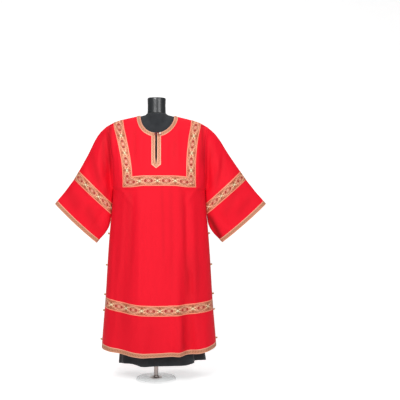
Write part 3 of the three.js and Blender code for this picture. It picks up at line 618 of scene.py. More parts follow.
def wall_piece(name, points, normals, low, high, uv, closed=False):
    """A cloth wall over a grid, between two distances along the normals, closed round its rim."""
    number = np.arange(points[..., 0].size).reshape(points.shape[:2])
    under = number + number.size
    rims = [np.s_[-1, :], np.s_[0, ::-1]]
    if closed:
        number, under = (np.concatenate([n, n[:, :1]], axis=1) for n in (number, under))
        uv = np.concatenate([uv, 2 * uv[:, -1:] - uv[:, -2:-1]], axis=1)
    else:
        rims += [np.s_[::-1, -1], np.s_[:, 0]]
    flat = np.arange(uv[..., 0].size).reshape(uv.shape[:2])
    quads, corners = [cells(number), cells(under)[:, ::-1]], [cells(flat), cells(flat)[:, ::-1]]
    for rim in rims:
        edge, below, laid = number[rim], under[rim], flat[rim]
        quads.append(np.stack([edge[:-1], below[:-1], below[1:], edge[1:]], axis=-1))
        corners.append(np.stack([laid[:-1], laid[:-1], laid[1:], laid[1:]], axis=-1))
    verts = np.concatenate([(points + normals * np.asarray(away)).reshape(-1, 3) for away in (high, low)])
    mesh = bpy.data.meshes.new(name)
    mesh.from_pydata((verts / 1000).tolist(), [], np.concatenate(quads).tolist())
    laid = uv.reshape(-1, 2)[np.concatenate(corners).ravel()] / 1000
    mesh.uv_layers.new(name="cut").data.foreach_set("uv", laid.astype(np.float32).ravel())
    measured = bmesh.new()
    measured.from_mesh(mesh)
    if measured.calc_volume(signed=True) < 0:
        mesh.flip_normals()
    measured.free()
    mesh.polygons.foreach_set("use_smooth", np.arange(len(mesh.polygons)) < 2 * len(quads[0]))
    return shown(name, mesh)


NECK_HALF, NECK_CENTRE_Z, NECK_DROP = 101.0, 1576.0, {"front": 112.0, "back": 32.0}
SLIT_HALF, SLIT_CORNER_Z, SLIT_POINT_Z = 5.6, 1318.0, 1272.0
NECK_BRAID, NECK_TOP_Z = 22.0, 1640


def neck_place(z):
    """How far to the side the neck opening sits: over the form's neck above, over the pole at the slit."""
    return HANG * ease((z - 1450) / 110)


def paint_fold_shade(obj, lines):
    """Paints shade into a cloth: notes at every point how much painted fold shade it gets, as the attribute
    the twill reads.
    """
    where = np.empty(len(obj.data.vertices) * 3, np.float32)
    obj.data.vertices.foreach_get("co", where)
    where = where.reshape(-1, 3).astype(float) * 1000
    # The share of painted shade, from 0 where the cloth is lit to 1 deep in a fold.
    deep = np.clip(creases_out(lines, where[:, 0], where[:, 2]), 0, 1)
    obj.data.attributes.new("painted_fold_shade", "FLOAT", "POINT").data.foreach_set("value", deep.astype(np.float32))


def neck_line(panel, margin, count):
    """The neck opening's edge, or a line a margin outside it, from the right shoulder to the middle."""
    reach, drop, slit = NECK_HALF + margin, NECK_DROP[panel] + margin, SLIT_HALF + margin
    turn = math.acos(slit / reach) if panel == "front" else math.pi / 2
    arc = np.linspace(math.pi, math.pi + turn, count[0])
    out = [np.stack([reach * np.cos(arc), NECK_CENTRE_Z + drop * np.sin(arc)], axis=-1)]
    if panel == "front":
        corner, tip = (-slit, SLIT_CORNER_Z - 1.9 * margin), (0, SLIT_POINT_Z - 0.8 * margin)
        out.append(np.linspace((-slit, out[0][-1, 1]), corner, count[1])[1:])
        out.append(np.linspace(corner, tip, count[2])[1:])
    return np.concatenate(out)


def neck_cutter(panel):
    """The neck opening's outline as a solid that reaches through one panel."""
    half = np.vstack([(-NECK_HALF, NECK_TOP_Z), neck_line(panel, 0, (40, 2, 2))])
    line = np.concatenate([half, half[-2::-1] * (-1, 1)])
    out = bmesh.new()
    ends = [
        [out.verts.new(((x + neck_place(z)) / 1000, y / 1000, z / 1000)) for x, z in line]
        for y in ((-400, 0.5) if panel == "front" else (-0.5, 400))
    ]
    out.faces.new(ends[0])
    out.faces.new(ends[1][::-1])
    for i in range(len(line)):
        out.faces.new((ends[0][i - 1], ends[1][i - 1], ends[1][i], ends[0][i]))
    bmesh.ops.recalc_face_normals(out, faces=out.faces)
    mesh = bpy.data.meshes.new("neck_cutter")
    out.to_mesh(mesh)
    out.free()
    return shown("neck_cutter", mesh)


def steps(places, counts):
    """Places along the cut, with so many steps from each named one to the next."""
    return np.interp(np.arange(sum(counts) + 1), np.cumsum((0, *counts)), places)


cut_grid = np.meshgrid(
    steps((-SIDE, -SLIT_BRAID, SLIT_BRAID, SIDE), (4, 100, 4)),
    steps((0, 1, 2, 3, 4, 5, 6, 7, 8, 10, 11, 15, 16, 17, 19, 21),
          (5, 4, 6, 8, 12, 15, 17, 10, 7, 17, 68, 13, 9, 24, 13)),
)
panels = {}
for panel in ("front", "back"):
    points, normals = body(panel, *cut_grid), body_normal(panel, *cut_grid)
    panels[panel] = wall_piece(f"{panel}_cloth", points, normals, -CLOTH, 0, flat_pattern(points))
    cutter = neck_cutter(panel)
    cut = panels[panel].modifiers.new("neck", "BOOLEAN")
    cut.operation, cut.solver, cut.object = "DIFFERENCE", "EXACT", cutter
    applied(panels[panel])
    bpy.data.objects.remove(cutter)
    # Painted shade in the folds of front and back.
    paint_fold_shade(panels[panel], FOLD_SHADE_LINES[panel])


# ---- the sleeves ----------------------------------------------------------------------------------
# Wide straight sleeves of the same twill, set into the armholes and seamed along the underarm. They
# hang folded flat, the lower edge resting against the skirt, and end in a straight cuff.
SLEEVE = (  # distance along, then x and z of the upper and lower fold and the depth to front and back
    (0, 300, 1508, 273, 1130, 70, 70),
    (38, 336, 1476, 274, 1118, 56, 58),
    (98, 372, 1428, 275.2, 1100, 52, 56),
    (169, 420, 1342, 276.8, 1078, 60, 62),
    (230, 481, 1243, 278.9, 1050, 60, 60),
    (291, 513, 1193, 284.3, 984, 52, 52),
    (338, 541, 1157, 294.5, 924, 46, 46),
    (385, 566, 1124, 316, 882, 42, 42),
    (454, 615, 1066, 359, 834, 33, 33),
    (479, 630, 1046, 376, 816, 31, 31),
)
SLEEVE_PLACES = np.array([row[0] for row in SLEEVE], float)
BAND_PLACES, CUFF_PLACES = SLEEVE_PLACES[4:6], SLEEVE_PLACES[8:]
REACH = {-1: 0.96, 1: 1.04}
SLEEVE_CREASES = {
    (-1, "front"): ((-288, 1560, -291, 1050, 15, -20), (-350, 1470, -340, 1130, 26, 9),
                    (-318, 1460, -362, 1290, 8, 3), (-430, 1120, -470, 960, 34, 6),
                    (-310, 1040, -390, 900, 18, -6), (-424, 1310, -392, 1150, 16, -5)),
    (1, "front"): ((287, 1560, 290, 1050, 15, -20), (336, 1460, 352, 1190, 24, 8),
                   (392, 1390, 350, 1130, 12, -5), (446, 1260, 392, 1080, 22, 4),
                   (500, 1100, 400, 980, 30, 5), (330, 1010, 430, 900, 16, -5)),
    (-1, "back"): ((-288, 1470, -292, 1120, 14, -8), (-350, 1420, -345, 1140, 26, 5),
                   (-450, 1130, -400, 960, 30, 4)),
    (1, "back"): ((288, 1470, 292, 1120, 14, -8), (352, 1420, 350, 1140, 26, 5),
                  (450, 1130, 404, 960, 30, -4)),
}


def sleeve(side, around, along):
    """Points of a sleeve's outer face: around from the upper fold to the front, along from the armhole."""
    high, s = (np.cos(around) + 1) / 2, np.sin(around)
    rings = []
    for place, top_x, top_z, low_x, low_z, front, back in SLEEVE:
        x, z = low_x + (top_x - low_x) * high, low_z + (top_z - low_z) * high
        if place == 0:
            x = read(BODY["half"], z) + 0.3
        else:
            x = np.where(x > SHOULDER_X, SHOULDER_X + (x - SHOULDER_X) * REACH[side], x)
        rings.append(np.stack([x, -s * np.where(s > 0, front, back) - 0.3 * np.sign(s), z], axis=-1))
    rings, runs = np.array(rings), np.diff(SLEEVE_PLACES)[:, None, None]
    secant = np.diff(rings, axis=0) / runs
    middle = (secant[:-1] * runs[1:] + secant[1:] * runs[:-1]) / (runs[1:] + runs[:-1])
    slopes = np.concatenate([secant[:1], middle, secant[-1:]])
    at = np.clip(along, 0, SLEEVE_PLACES[-1])
    k = np.clip(np.searchsorted(SLEEVE_PLACES, at, side="left") - 1, 0, len(runs) - 1)
    t = (at - SLEEVE_PLACES[k])[:, None, None] / runs[k]
    x, y, z = np.moveaxis(hermite(t, runs[k], rings[k], rings[k + 1], slopes[k], slopes[k + 1]), -1, 0)
    x = side * x
    front, back = (creases_out(SLEEVE_CREASES[side, panel], x, z) for panel in ("front", "back"))
    out = np.where(s > 0, front, back) + ripple(x, z, 21 + side) * 0.9
    out = out * ease(at / 26)[:, None] * np.abs(s) ** 0.5
    # The cuff is never quite straight: it dips a little between its two folds.
    z = z - 5 * ease((at - 200) / 250)[:, None] * s**2
    return np.stack([hung(x, z), y - np.sign(s) * out, z], axis=-1)


def sleeve_normal(side, around, along, step=0.004, reach=0.4):
    turn = sleeve(side, around + step, along) - sleeve(side, around - step, along)
    go = sleeve(side, around, along + reach) - sleeve(side, around, along - reach)
    normal = side * np.cross(turn, go)
    normal[..., 0] = np.where(np.asarray(along)[:, None] < 0.01, 0, normal[..., 0])
    return normal / np.linalg.norm(normal, axis=-1, keepdims=True)


sleeves = {}
for side, name in ((-1, "right"), (1, "left")):
    spot = side, np.pi + np.linspace(0, 2 * np.pi, 132, endpoint=False), np.linspace(0, SLEEVE_PLACES[-1], 78)
    points = sleeve(*spot)
    sleeves[name] = wall_piece(
        f"{name}_sleeve_cloth", points, sleeve_normal(*spot), -CLOTH, 0, flat_pattern(points), closed=True
    )
    # Painted shade at the armhole, in the folds and under the sleeve.
    paint_fold_shade(sleeves[name], FOLD_SHADE_LINES[name])


# ---- the red twill --------------------------------------------------------------------------------
# A soft satin-faced twill in fast red. The weave runs with the cut of each piece, and the face is
# painted a deeper red as shade where the cloth lies in a fold, at the armholes and under the sleeves.
def new_group(kind, name, inputs, outputs):
    """A node group with the inputs and outputs named, and its ends."""
    group = bpy.data.node_groups.new(name, f"{kind}NodeTree")
    for key, what, value in inputs:
        socket = group.interface.new_socket(key, in_out="INPUT", socket_type=f"NodeSocket{what}")
        if value is not None:
            socket.default_value = value
    for key, what in outputs:
        group.interface.new_socket(key, in_out="OUTPUT", socket_type=f"NodeSocket{what}")
    return group, node(group, "NodeGroupInput").outputs, node(group, "NodeGroupOutput")


def cut_pattern(tree, group, **inputs):
    """A cloth's pattern from its group, laid along the piece's own cut."""
    cut = node(tree, "ShaderNodeUVMap", {"uv_map": "cut"}).outputs[0]
    return node(tree, "ShaderNodeGroup", {"node_tree": group}, Cut=cut, **inputs).outputs


def apart(place):
    """A place's first and second numbers."""
    return [Wire(out) for out in node(place.id_data, "ShaderNodeSeparateXYZ", Vector=place).outputs[:2]]


twill, given, wanted = new_group(
    "Shader", "Twill Weave", (("Cut", "Vector", None), ("Thread", "Float", 0.0009)),
    (("Height", "Float"), ("Fleck", "Float")),
)
u, v = apart(given["Cut"])
thread = Wire(given["Thread"])
rib = ((u + v * 1.6) / thread + noise(given["Cut"], 260.0) * 0.8).folded(1.0)
fleck = noise(stretched(given["Cut"], (900, 60, 1)), 1.0)
wire_up(wanted, Height=rib * 0.75 + (u / (thread * 0.6)).folded(1.0) * 0.25,
        Fleck=maths("MULTIPLY_ADD", rib, 0.5, fleck * 0.5))

red_twill, tree, shader = new_material("red_twill")
weave = cut_pattern(tree, twill, Thread=0.0009)
uneven = noise(object_place(tree), 5.0, 3.0)
face = blend(weave["Fleck"], (0.78, 0.0040, 0.018), (0.90, 0.0060, 0.026))
face = blend(uneven * 0.12, face, (0.66, 0.002, 0.010))
# Painted shade: the attribute mixes the face towards a shaded dark red in the folds.
painted_fold_shade = node(tree, "ShaderNodeAttribute", {"attribute_name": "painted_fold_shade"}).outputs["Fac"]
wire_up(shader, Base_Color=blend(painted_fold_shade, face, (0.30, 0.0006, 0.003)), Roughness=0.66, Specular_IOR_Level=0.16,
        Sheen_Weight=0.05, Sheen_Roughness=0.45, Sheen_Tint=(1, 0.10, 0.2),
        Normal=bump(weave["Height"], 0.30, 0.00022))
for panel, cloth in panels.items():
    finish(cloth, red_twill, "red_cloth", f"{panel}_panel")
for name, cloth in sleeves.items():
    finish(cloth, red_twill, "red_cloth", f"sleeve_{name}")


# ---- the woven braids -----------------------------------------------------------------------------
# Two jacquard galloons in matt gold thread, machine-sewn flat on the twill. The wide one, 60 mm, has
# interlaced bands, rosettes and dark red hearts, and the narrow one, 24 mm, a wavy line.
WIDE_REPEAT, NARROW_WAVE = 103.0, 17.0
BRAID_THICK, BRAID_LIFT = 0.9, 0.35
BRAID_OUTPUTS = (("Colour", "Color"), ("Raised", "Float"), ("Gold", "Float"))


def near(distance, half, soft=0.35):
    """1 inside a line of the given half width, 0 outside."""
    return Wire(node(distance.id_data, "ShaderNodeMapRange", {"interpolation_type": "SMOOTHSTEP"},
                     Value=distance, From_Min=half + soft, From_Max=half - soft).outputs[0])


def most(*values):
    out = values[0]
    for value in values[1:]:
        out = maths("MAXIMUM", out, value)
    return out


def length2(a, b):
    return maths("SQRT", a * a + b * b)


def painted(colour, *layers):
    """Colours laid over one another, each by its own share."""
    for share, tint in layers:
        colour = blend(share, colour, tint)
    return colour


wide, given, wanted = new_group(
    "Shader", "Wide Galloon Pattern", (("Cut", "Vector", None), ("Repeat", "Float", WIDE_REPEAT)),
    BRAID_OUTPUTS,
)
u, v = (way * 1000.0 for way in apart(given["Cut"]))
t, repeat = abs(v), Wire(given["Repeat"])
s, half_repeat = (u / repeat + 0.5).folded(0.5) * repeat, repeat * 0.5
from_cross = half_repeat - s
swing = (1.0 - maths("MINIMUM", s / half_repeat, 1.0)) ** 0.82 * 21.0
band, band_edge = (near(abs(t - swing), half) for half in (2.0, 3.5))
cord, cord_edge = (near(abs(t - swing * 0.62), half) for half in (0.8, 2.0))
outer_cord = near(abs(t - (swing + 6.6)), 0.8)
within = near(t, 24.3)
outside = near(swing - t, -3.0) * within
inside = (1.0 - outside) * within
hatch = near(((s + t) * 0.225).folded(1.0), 0.46, 0.16)
lattice = near(((s - t) * 0.225).folded(1.0), 0.34, 0.16)
from_rosette = length2(s, t)
petal = from_rosette - maths("MULTIPLY_ADD", maths("COSINE", maths("ARCTAN2", t, s) * 8.0), 1.5, 6.4)
rosette, rosette_edge = near(petal, 0.0), near(abs(petal), 0.75)
heart_x, heart_y = t / 7.2, (20.5 - s) / 7.2
heart_line = (heart_x * heart_x + heart_y * heart_y - 1.0) ** 3.0 - heart_x * heart_x * heart_y**3.0
heart, heart_rim = near(heart_line, 0.05, 0.12), near(heart_line, 1.1, 0.3)
from_scroll = length2(from_cross, t - 15.5)
scroll = near(abs(from_scroll - 6.4), 1.0)
leaf = near(length2((from_cross - 16.5) * 0.55, t - 19.0), 2.4)
stem = near(length2((from_cross - 26.0) * 0.3, t - 23.0), 0.9)
knot, knot_edge = (near(length2(from_cross, t), half) for half in (4.6, 6.2))
tick = near(length2(s - 10.6, t), 1.2)
dots = near(length2(u.folded(1.9), t - 26.2), 0.85)
border, inner_border = near(abs(t - 27.7), 0.35, 0.2), near(abs(t - 24.8), 0.3, 0.2)
grain = noise(stretched(given["Cut"], (1800, 500, 1)), 1.0)
colour = painted(
    blend(grain, (0.60, 0.13, 0.070), (0.88, 0.23, 0.134)),
    (outside * 0.7, (0.97, 0.275, 0.156)),
    (outside * hatch * 0.92, (0.21, 0.05, 0.018)),
    (outside * outer_cord, (0.97, 0.44, 0.27)),
    (inside * lattice * 0.75, (0.30, 0.06, 0.024)),
    (most(leaf, stem) * 0.9, (0.17, 0.12, 0.03)),
    (scroll * 0.85, (0.21, 0.12, 0.035)),
    (near(from_scroll, 2.9), (0.42, 0.05, 0.035)),
    (most(cord_edge, band_edge) * 0.9, (0.15, 0.085, 0.025)),
    (cord, (0.95, 0.44, 0.28)),
    (band, (0.97, 0.43, 0.275)),
    (band * near(from_cross, 15.0, 5.0), (1.0, 0.78, 0.48)),
    (knot_edge, (0.17, 0.09, 0.03)),
    (knot, (1.0, 0.84, 0.56)),
    (heart_rim, (0.90, 0.42, 0.27)),
    (heart, (0.36, 0.014, 0.014)),
    (heart * near(t, 0.35, 0.2), (0.80, 0.36, 0.20)),
    (rosette, (0.97, 0.51, 0.39)),
    (rosette_edge * 0.8, (0.22, 0.09, 0.035)),
    (most(near(from_rosette, 2.5), tick), (0.48, 0.03, 0.025)),
    (most(dots, inner_border) * 0.4, (0.34, 0.12, 0.045)),
    (border * 0.7, (0.33, 0.17, 0.07)),
    (near(WIDE / 2 - t, 5.0), (0.94, 0.30, 0.19)),
)
raised = band + rosette * 0.8 + (u * 1.6).folded(0.5) * 0.7 + grain * 0.25
wire_up(wanted, Colour=colour, Raised=raised,
        Gold=1.0 - most(band_edge, cord_edge, heart, scroll, leaf, dots))

narrow, given, wanted = new_group(
    "Shader", "Narrow Galloon Pattern", (("Cut", "Vector", None), ("Wave", "Float", NARROW_WAVE)),
    BRAID_OUTPUTS,
)
u, v = (way * 1000.0 for way in apart(given["Cut"]))
t, wave = abs(v), Wire(given["Wave"])
vine = near(abs(v - maths("SINE", u / wave * (2 * math.pi)) * 3.4), 1.05, 0.3)
along = (u + wave * 0.25).folded(wave * 0.5)
buds = most(near(length2(along, v + 2.2), 1.7, 0.4), near(length2(wave * 0.5 - along, v - 2.2), 1.7, 0.4))
colour = painted(
    blend(noise(stretched(given["Cut"], (1800, 500, 1)), 1.0), (0.50, 0.20, 0.11), (0.70, 0.32, 0.195)),
    (vine * 0.9, (0.22, 0.11, 0.035)),
    (buds * 0.8, (0.42, 0.13, 0.06)),
    (near(abs(t - 7.6), 0.4, 0.25) * 0.6, (0.45, 0.24, 0.10)),
    (near(NARROW / 2 - t, 2.6), (0.92, 0.47, 0.33)),
)
wire_up(wanted, Colour=colour, Raised=(u * 1.6).folded(0.5) * 0.8 + vine * 0.8, Gold=1.0 - vine)

galloons = {}
for name, width, group in (("wide", WIDE, wide), ("narrow", NARROW, narrow)):
    material, tree, shader = new_material(f"{name}_galloon")
    pattern = cut_pattern(tree, group)
    wire_up(shader, Base_Color=pattern["Colour"], Metallic=Wire(pattern["Gold"]) * 0.25,
            Roughness=between(pattern["Gold"], 0.75, 0.46), Specular_IOR_Level=0.4,
            Normal=bump(pattern["Raised"], 0.55, 0.00045))
    galloons[width] = material, f"{name}_braid"

# Across a braid the thread layer is thin at both edges, where it is sewn down.
ACROSS = np.array([0, 0.012, 0.035, 0.09, 0.2, 0.35, 0.5, 0.65, 0.8, 0.91, 0.965, 0.988, 1])
ROUNDED = np.array([0.45, 0.8] + [1] * 9 + [0.8, 0.45])
stitch_lines = {"front": [], "back": [], "right": [], "left": []}


def braid(name, width, cad_node, spans):
    """Sews a braid on: each span gives the points and normals of the cloth and the pattern's places."""
    sewn = bmesh.new()
    for points, normals, u, v, *closed in spans:
        thick = (BRAID_LIFT + BRAID_THICK * ROUNDED)[:, None, None]
        for edge in (2, -3):
            line = points[edge] + normals[edge] * (BRAID_LIFT + BRAID_THICK + 0.05)
            stitch_lines[name.split("_")[0]].append(np.concatenate([line, line[:1]]) if closed else line)
        uv = np.stack(np.broadcast_arrays(u, v * width), axis=-1)
        part = wall_piece(name, points, normals, BRAID_LIFT * 0.6, thick, uv, bool(closed))
        sewn.from_mesh(part.data)
        bpy.data.objects.remove(part)
    piece = shown(name, bpy.data.meshes.new(name))
    sewn.to_mesh(piece.data)
    sewn.free()
    finish(piece, *galloons[width], cad_node)


def body_span(panel, column, row, u, v):
    return body(panel, column, row), body_normal(panel, column, row), u, v


def along_sum(points):
    """Distance along the middle of a span, from its start."""
    return np.pad(np.cumsum(np.linalg.norm(np.diff(points[len(points) // 2], axis=0), axis=-1)), (1, 0))


def height(panel, column, row):
    return body(panel, column, row)[..., 2]


a = ACROSS[:, None]
YOKE_PATTERN_Z = 1396 + WIDE_REPEAT / 2
for panel in ("front", "back"):
    # The yoke's galloon runs level, and up each side from the mitred corner.
    cut = np.linspace(-1, 1, 150) * (YOKE_IN + 2 * a), YOKE_TOP + a + np.zeros(150)
    spans = [body_span(panel, *cut, body(panel, *cut)[..., 0] - HANG, 0.5 - a)]
    for side in (-1, 1):
        rise = np.linspace(0, 1, 90)[::-side]
        cut = side * (YOKE_IN + 2 * a) + 0 * rise, (YOKE_TOP + a) * rise
        spans.append(body_span(panel, *cut, YOKE_PATTERN_Z - height(panel, *cut), a - 0.5))
    braid(f"{panel}_yoke_galloon", WIDE, f"yoke_braid_{panel}", spans)

    # The skirt's galloon runs straight across, from one side slit's edging to the other.
    cut = np.linspace(-BAND_END, BAND_END, 190) + 0 * a, BAND_TOP + a + np.zeros(190)
    u = along_sum(body(panel, *cut))
    braid(f"{panel}_skirt_galloon", WIDE, f"skirt_band_{panel}", [body_span(panel, *cut, u - u[95], 0.5 - a)])

    # The narrow galloon edges both side slits and the hem, mitred at the corners.
    cut = np.linspace(-1, 1, 190) * (SLIT_BRAID + a), HEM_BRAID + a + np.zeros(190)
    spans = [body_span(panel, *cut, along_sum(body(panel, *cut)), 0.5 - a)]
    for side in (-1, 1):
        rise = np.linspace(0, 1, 170)[::-side]
        cut = side * (SLIT_BRAID + a) + 0 * rise, SLIT_TOP + (HEM_BRAID + a - SLIT_TOP) * rise
        spans.append(body_span(panel, *cut, side * (height(panel, *cut) - HEM_Z), a - 0.5))
    braid(f"{panel}_hem_and_slit_galloon", NARROW, f"hem_and_slit_braid_{panel}", spans)


def on_body(panel, x, z):
    """The column and row of the cut at a place seen straight from the front."""
    column, row = (x - 12) / 26.0, np.interp(-z, (-1580, -YOKE_TOP_Z, -YOKE_LOW_Z), (0, YOKE_TOP, YOKE_LOW))
    for _ in range(14):
        here = body(panel, column, row)
        r_step = np.where(row > 0.1, -0.02, 0.02)
        dc = (body(panel, column + 0.02, row) - here) / 0.02
        dr = (body(panel, column, row + r_step) - here) / r_step[..., None]
        ex, ez = x - here[..., 0], z - here[..., 2]
        det = dc[..., 0] * dr[..., 2] - dc[..., 2] * dr[..., 0]
        det = np.where(np.abs(det) < 1e-6, -1e-6, det)
        column = np.clip(column + np.clip((ex * dr[..., 2] - ez * dr[..., 0]) / det, -0.5, 0.5), -9.9, 9.9)
        row = np.clip(row + np.clip((dc[..., 0] * ez - dc[..., 2] * ex) / det, -0.5, 0.5), 0, 12)
    return column, row


for panel in ("front", "back"):
    inner, outer = (neck_line(panel, margin, (64, 46, 8)) for margin in (0.25, NECK_BRAID))
    line = inner[None] + (outer - inner)[None] * ACROSS[:, None, None]
    x, z = np.moveaxis(np.concatenate([line, line[:, -2::-1] * (-1, 1)], axis=1), -1, 0)
    cut = on_body(panel, x + neck_place(z), z)
    u = along_sum(body(panel, *cut))
    # Down the slit the pattern keeps level across the braid.
    downward = np.where(np.arange(len(u)) < len(u) // 2, 1, -1)
    u = u + downward * (z[6:7] - z) * ease((1440 - z) / 20)
    braid(f"{panel}_neck_galloon", NARROW, f"neck_braid_{panel}", [body_span(panel, *cut, u, a - 0.5)])

# Round each sleeve: the wide galloon above the elbow and the narrow one along the cuff.
for side, name in ((-1, "right"), (1, "left")):
    for what, (low, high), width, cad_node in (
        ("sleeve", BAND_PLACES, WIDE, "sleeve_band"), ("cuff", CUFF_PLACES, NARROW, "cuff_braid")
    ):
        spot = side, np.pi + np.linspace(0, 2 * np.pi, 160, endpoint=False), low + (high - low) * ACROSS
        u = along_sum(sleeve(*spot))
        braid(f"{name}_{what}_galloon", width, f"{cad_node}_{name}",
              [(sleeve(*spot), sleeve_normal(*spot), u - u[80], 0.5 - a, True)])


# ---- the cross on the back ------------------------------------------------------------------------
# An embroidered applique between the shoulders: a lozenge with an equal-armed cross on each point and a
# small one on each side, worked in pale gold thread on a dark red edge, padded and satin-stitched.
CROSS_Z, CROSS_REACH, LOZENGE, STEM, FLARE = 1352.0, 78.0, 47.0, 5.0, 17.0
BAR_AT, FOOT_AT, SMALL_AT, JOIN_AT, CROSS_CELL = 61, 45, 38, 72, 0.9


def cross_height(x, z, grow):
    """How far inside the cross a place is, in millimetres, from its middle; negative outside."""
    def within(*pairs):
        return np.min([limit + grow - off for limit, off in pairs], axis=0)

    def arm(along, off):
        stem = np.minimum(within((STEM * 0.9, off), (CROSS_REACH, along)), along - 30)
        bar = within((STEM * 0.8, np.abs(along - BAR_AT)), (FLARE * 0.92, off))
        short = CROSS_REACH - along
        tip = within((8.5, off + short * 0.35), (CROSS_REACH, along), (6.5, short))
        return np.max([stem, bar, tip, within((8.5, off), (3.0, np.abs(along - FOOT_AT)))], axis=0)

    ax, az = np.abs(x), np.abs(z)
    small = [within((2.6, np.abs(p - SMALL_AT)), (10.5, np.abs(q - SMALL_AT)))
             for p, q in ((ax, az), (az, ax))]
    join = within((2.2, np.abs(ax - az) / 1.41), (8.5, np.abs(ax + az - JOIN_AT) / 1.41))
    return np.max([(LOZENGE + grow * 1.41 - ax - az) / 1.41, arm(ax, az), arm(az, ax), *small, join], axis=0)


def cross_piece(name, grow, low, high, dome):
    """One layer of the applique: the part of the back that lies inside the cross, raised."""
    size = CROSS_REACH + 8
    line = np.arange(-size, size + CROSS_CELL, CROSS_CELL)
    gx, gz = np.meshgrid(line, np.arange(size, -size - CROSS_CELL, -CROSS_CELL))
    inside = cross_height(gx, gz, grow)
    # Places next to the outline are pulled onto it, so that the edge is smooth and not stepped.
    slope_x, slope_z = (
        (cross_height(gx + dx, gz + dz, grow) - cross_height(gx - dx, gz - dz, grow)) / 0.1
        for dx, dz in ((0.05, 0), (0, 0.05))
    )
    kept = inside > -CROSS_CELL * 1.05
    pull = np.where(kept & (inside < 0), inside, 0) / (slope_x**2 + slope_z**2).clip(0.05)
    gx, gz = gx - pull * slope_x, gz - pull * slope_z
    cut = on_body("back", gx + HANG, gz + CROSS_Z)
    points, normals = body("back", *cut), body_normal("back", *cut)
    swell = low + (high - low) * (0.35 + 0.65 * np.sqrt(np.clip(inside.clip(0) / dome, 0, 1)))
    full = kept[:-1, :-1] & kept[1:, :-1] & kept[1:, 1:] & kept[:-1, 1:]
    number = np.arange(gx.size).reshape(gx.shape)
    quads = np.stack([number[:-1, :-1], number[:-1, 1:], number[1:, 1:], number[1:, :-1]], axis=-1)[full]
    flat = np.stack([gx, gz], axis=-1).reshape(-1, 2) / 1000
    patch = bmesh.new()
    outer, inner = (
        {n: patch.verts.new(at.reshape(-1, 3)[n] / 1000) for n in np.unique(quads)}
        for at in (points + normals * swell[..., None], points + normals * low)
    )
    uv = patch.loops.layers.uv.new("cut")

    def sew(verts, numbers, smooth):
        face = patch.faces.new(verts)
        face.smooth = smooth
        for loop, n in zip(face.loops, numbers):
            loop[uv].uv = flat[n]

    for quad in quads:
        sew([outer[n] for n in quad], quad, True)
        sew([inner[n] for n in quad[::-1]], quad[::-1], True)
    top = {v: n for n, v in outer.items()}
    for edge in [e for e in patch.edges if e.is_boundary and e.verts[0] in top]:
        corner = edge.link_loops[0]
        first, second = top[corner.vert], top[corner.link_loop_next.vert]
        sew((outer[second], outer[first], inner[first], inner[second]), (second, first, first, second), False)
    mesh = bpy.data.meshes.new(name)
    patch.to_mesh(mesh)
    patch.free()
    return shown(name, mesh)


dark_thread, tree, shader = new_material("dark_red_thread")
cut = node(tree, "ShaderNodeUVMap", {"uv_map": "cut"}).outputs[0]
stitch = waves(cut, "DIAGONAL", 420.0, Distortion=0.4)
wire_up(shader, Base_Color=blend(stitch, (0.10, 0.006, 0.008), (0.26, 0.015, 0.02)), Roughness=0.5,
        Normal=bump(stitch, 0.6, 0.0004))

pale_thread, tree, shader = new_material("pale_gold_thread")
cut = node(tree, "ShaderNodeUVMap", {"uv_map": "cut"}).outputs[0]
x, z = (abs(way * 1000.0) for way in apart(cut))
satin = waves(cut, "DIAGONAL", 380.0, Distortion=0.3)
ring = near(abs(x + z - 39.0), 2.2)
from_middle = length2(x, z)
flower_edge = maths("MULTIPLY_ADD", maths("COSINE", maths("ARCTAN2", z, x) * 4.0), 3.0, 8.5)
flower = near(from_middle - flower_edge, 0.0)
leaves = most(near(length2(x - 17.0, z * 1.6), 6.0), near(length2(x * 1.6, z - 17.0), 6.0))
colour = painted(
    blend(satin, (0.80, 0.58, 0.30), (0.95, 0.80, 0.52)),
    (ring * 0.8, (0.28, 0.30, 0.13)),
    (near(x + z, 36.0), (0.80, 0.80, 0.66)),
    (flower * 0.85, (0.42, 0.27, 0.42)),
    (leaves * 0.75, (0.30, 0.42, 0.26)),
    (near(length2(x - 12.5, z - 12.5), 2.2), (0.50, 0.06, 0.09)),
    (near(from_middle, 3.0), (0.95, 0.80, 0.50)),
)
wire_up(shader, Base_Color=colour, Metallic=0.15, Roughness=0.42,
        Normal=bump(satin + most(ring, flower) * 1.2, 0.6, 0.0005))

finish(cross_piece("cross_dark_edge", 1.9, 0.3, 1.1, 1.2), dark_thread, "cross_embroidery", "back_cross")
finish(cross_piece("cross_gold_face", 0.0, 1.25, 2.3, 1.6), pale_thread, "cross_embroidery")


# ---- the sewing -----------------------------------------------------------------------------------
# Both edges of every braid are machine-stitched down in pale thread, in short even stitches, and the
# mitred corners are sewn in with them.
def grown(name, group, verts, aims=None, edges=(), **values):
    """A mesh grown by a Geometry Nodes group from points or lines, given in metres."""
    mesh = bpy.data.meshes.new(name)
    mesh.from_pydata(np.asarray(verts).tolist(), edges, [])
    if aims is not None:
        mesh.attributes.new("aim", "FLOAT_VECTOR", "POINT").data.foreach_set(
            "vector", np.asarray(aims, np.float32).ravel()
        )
    obj = shown(name, mesh)
    modifier = obj.modifiers.new(group.name, "NODES")
    modifier.node_group = group
    for item in group.interface.items_tree:
        if item.in_out == "INPUT" and item.name.replace(" ", "_") in values:
            modifier[item.identifier] = values[item.name.replace(" ", "_")]
    return applied(obj)


def geometry_group(name, *sizes):
    """A Geometry Nodes group with the sizes named and what it grows from, and a call to add a node."""
    ways = [("Geometry", "Geometry", None), *((key, "Float", value) for key, value in sizes),
            ("Material", "Material", None)]
    group, given, wanted = new_group("Geometry", name, ways, [("Geometry", "Geometry")])

    def add(kind, settings=(), **inputs):
        return node(group, f"GeometryNode{kind}", settings, **inputs).outputs[0]

    return group, given, wanted, add


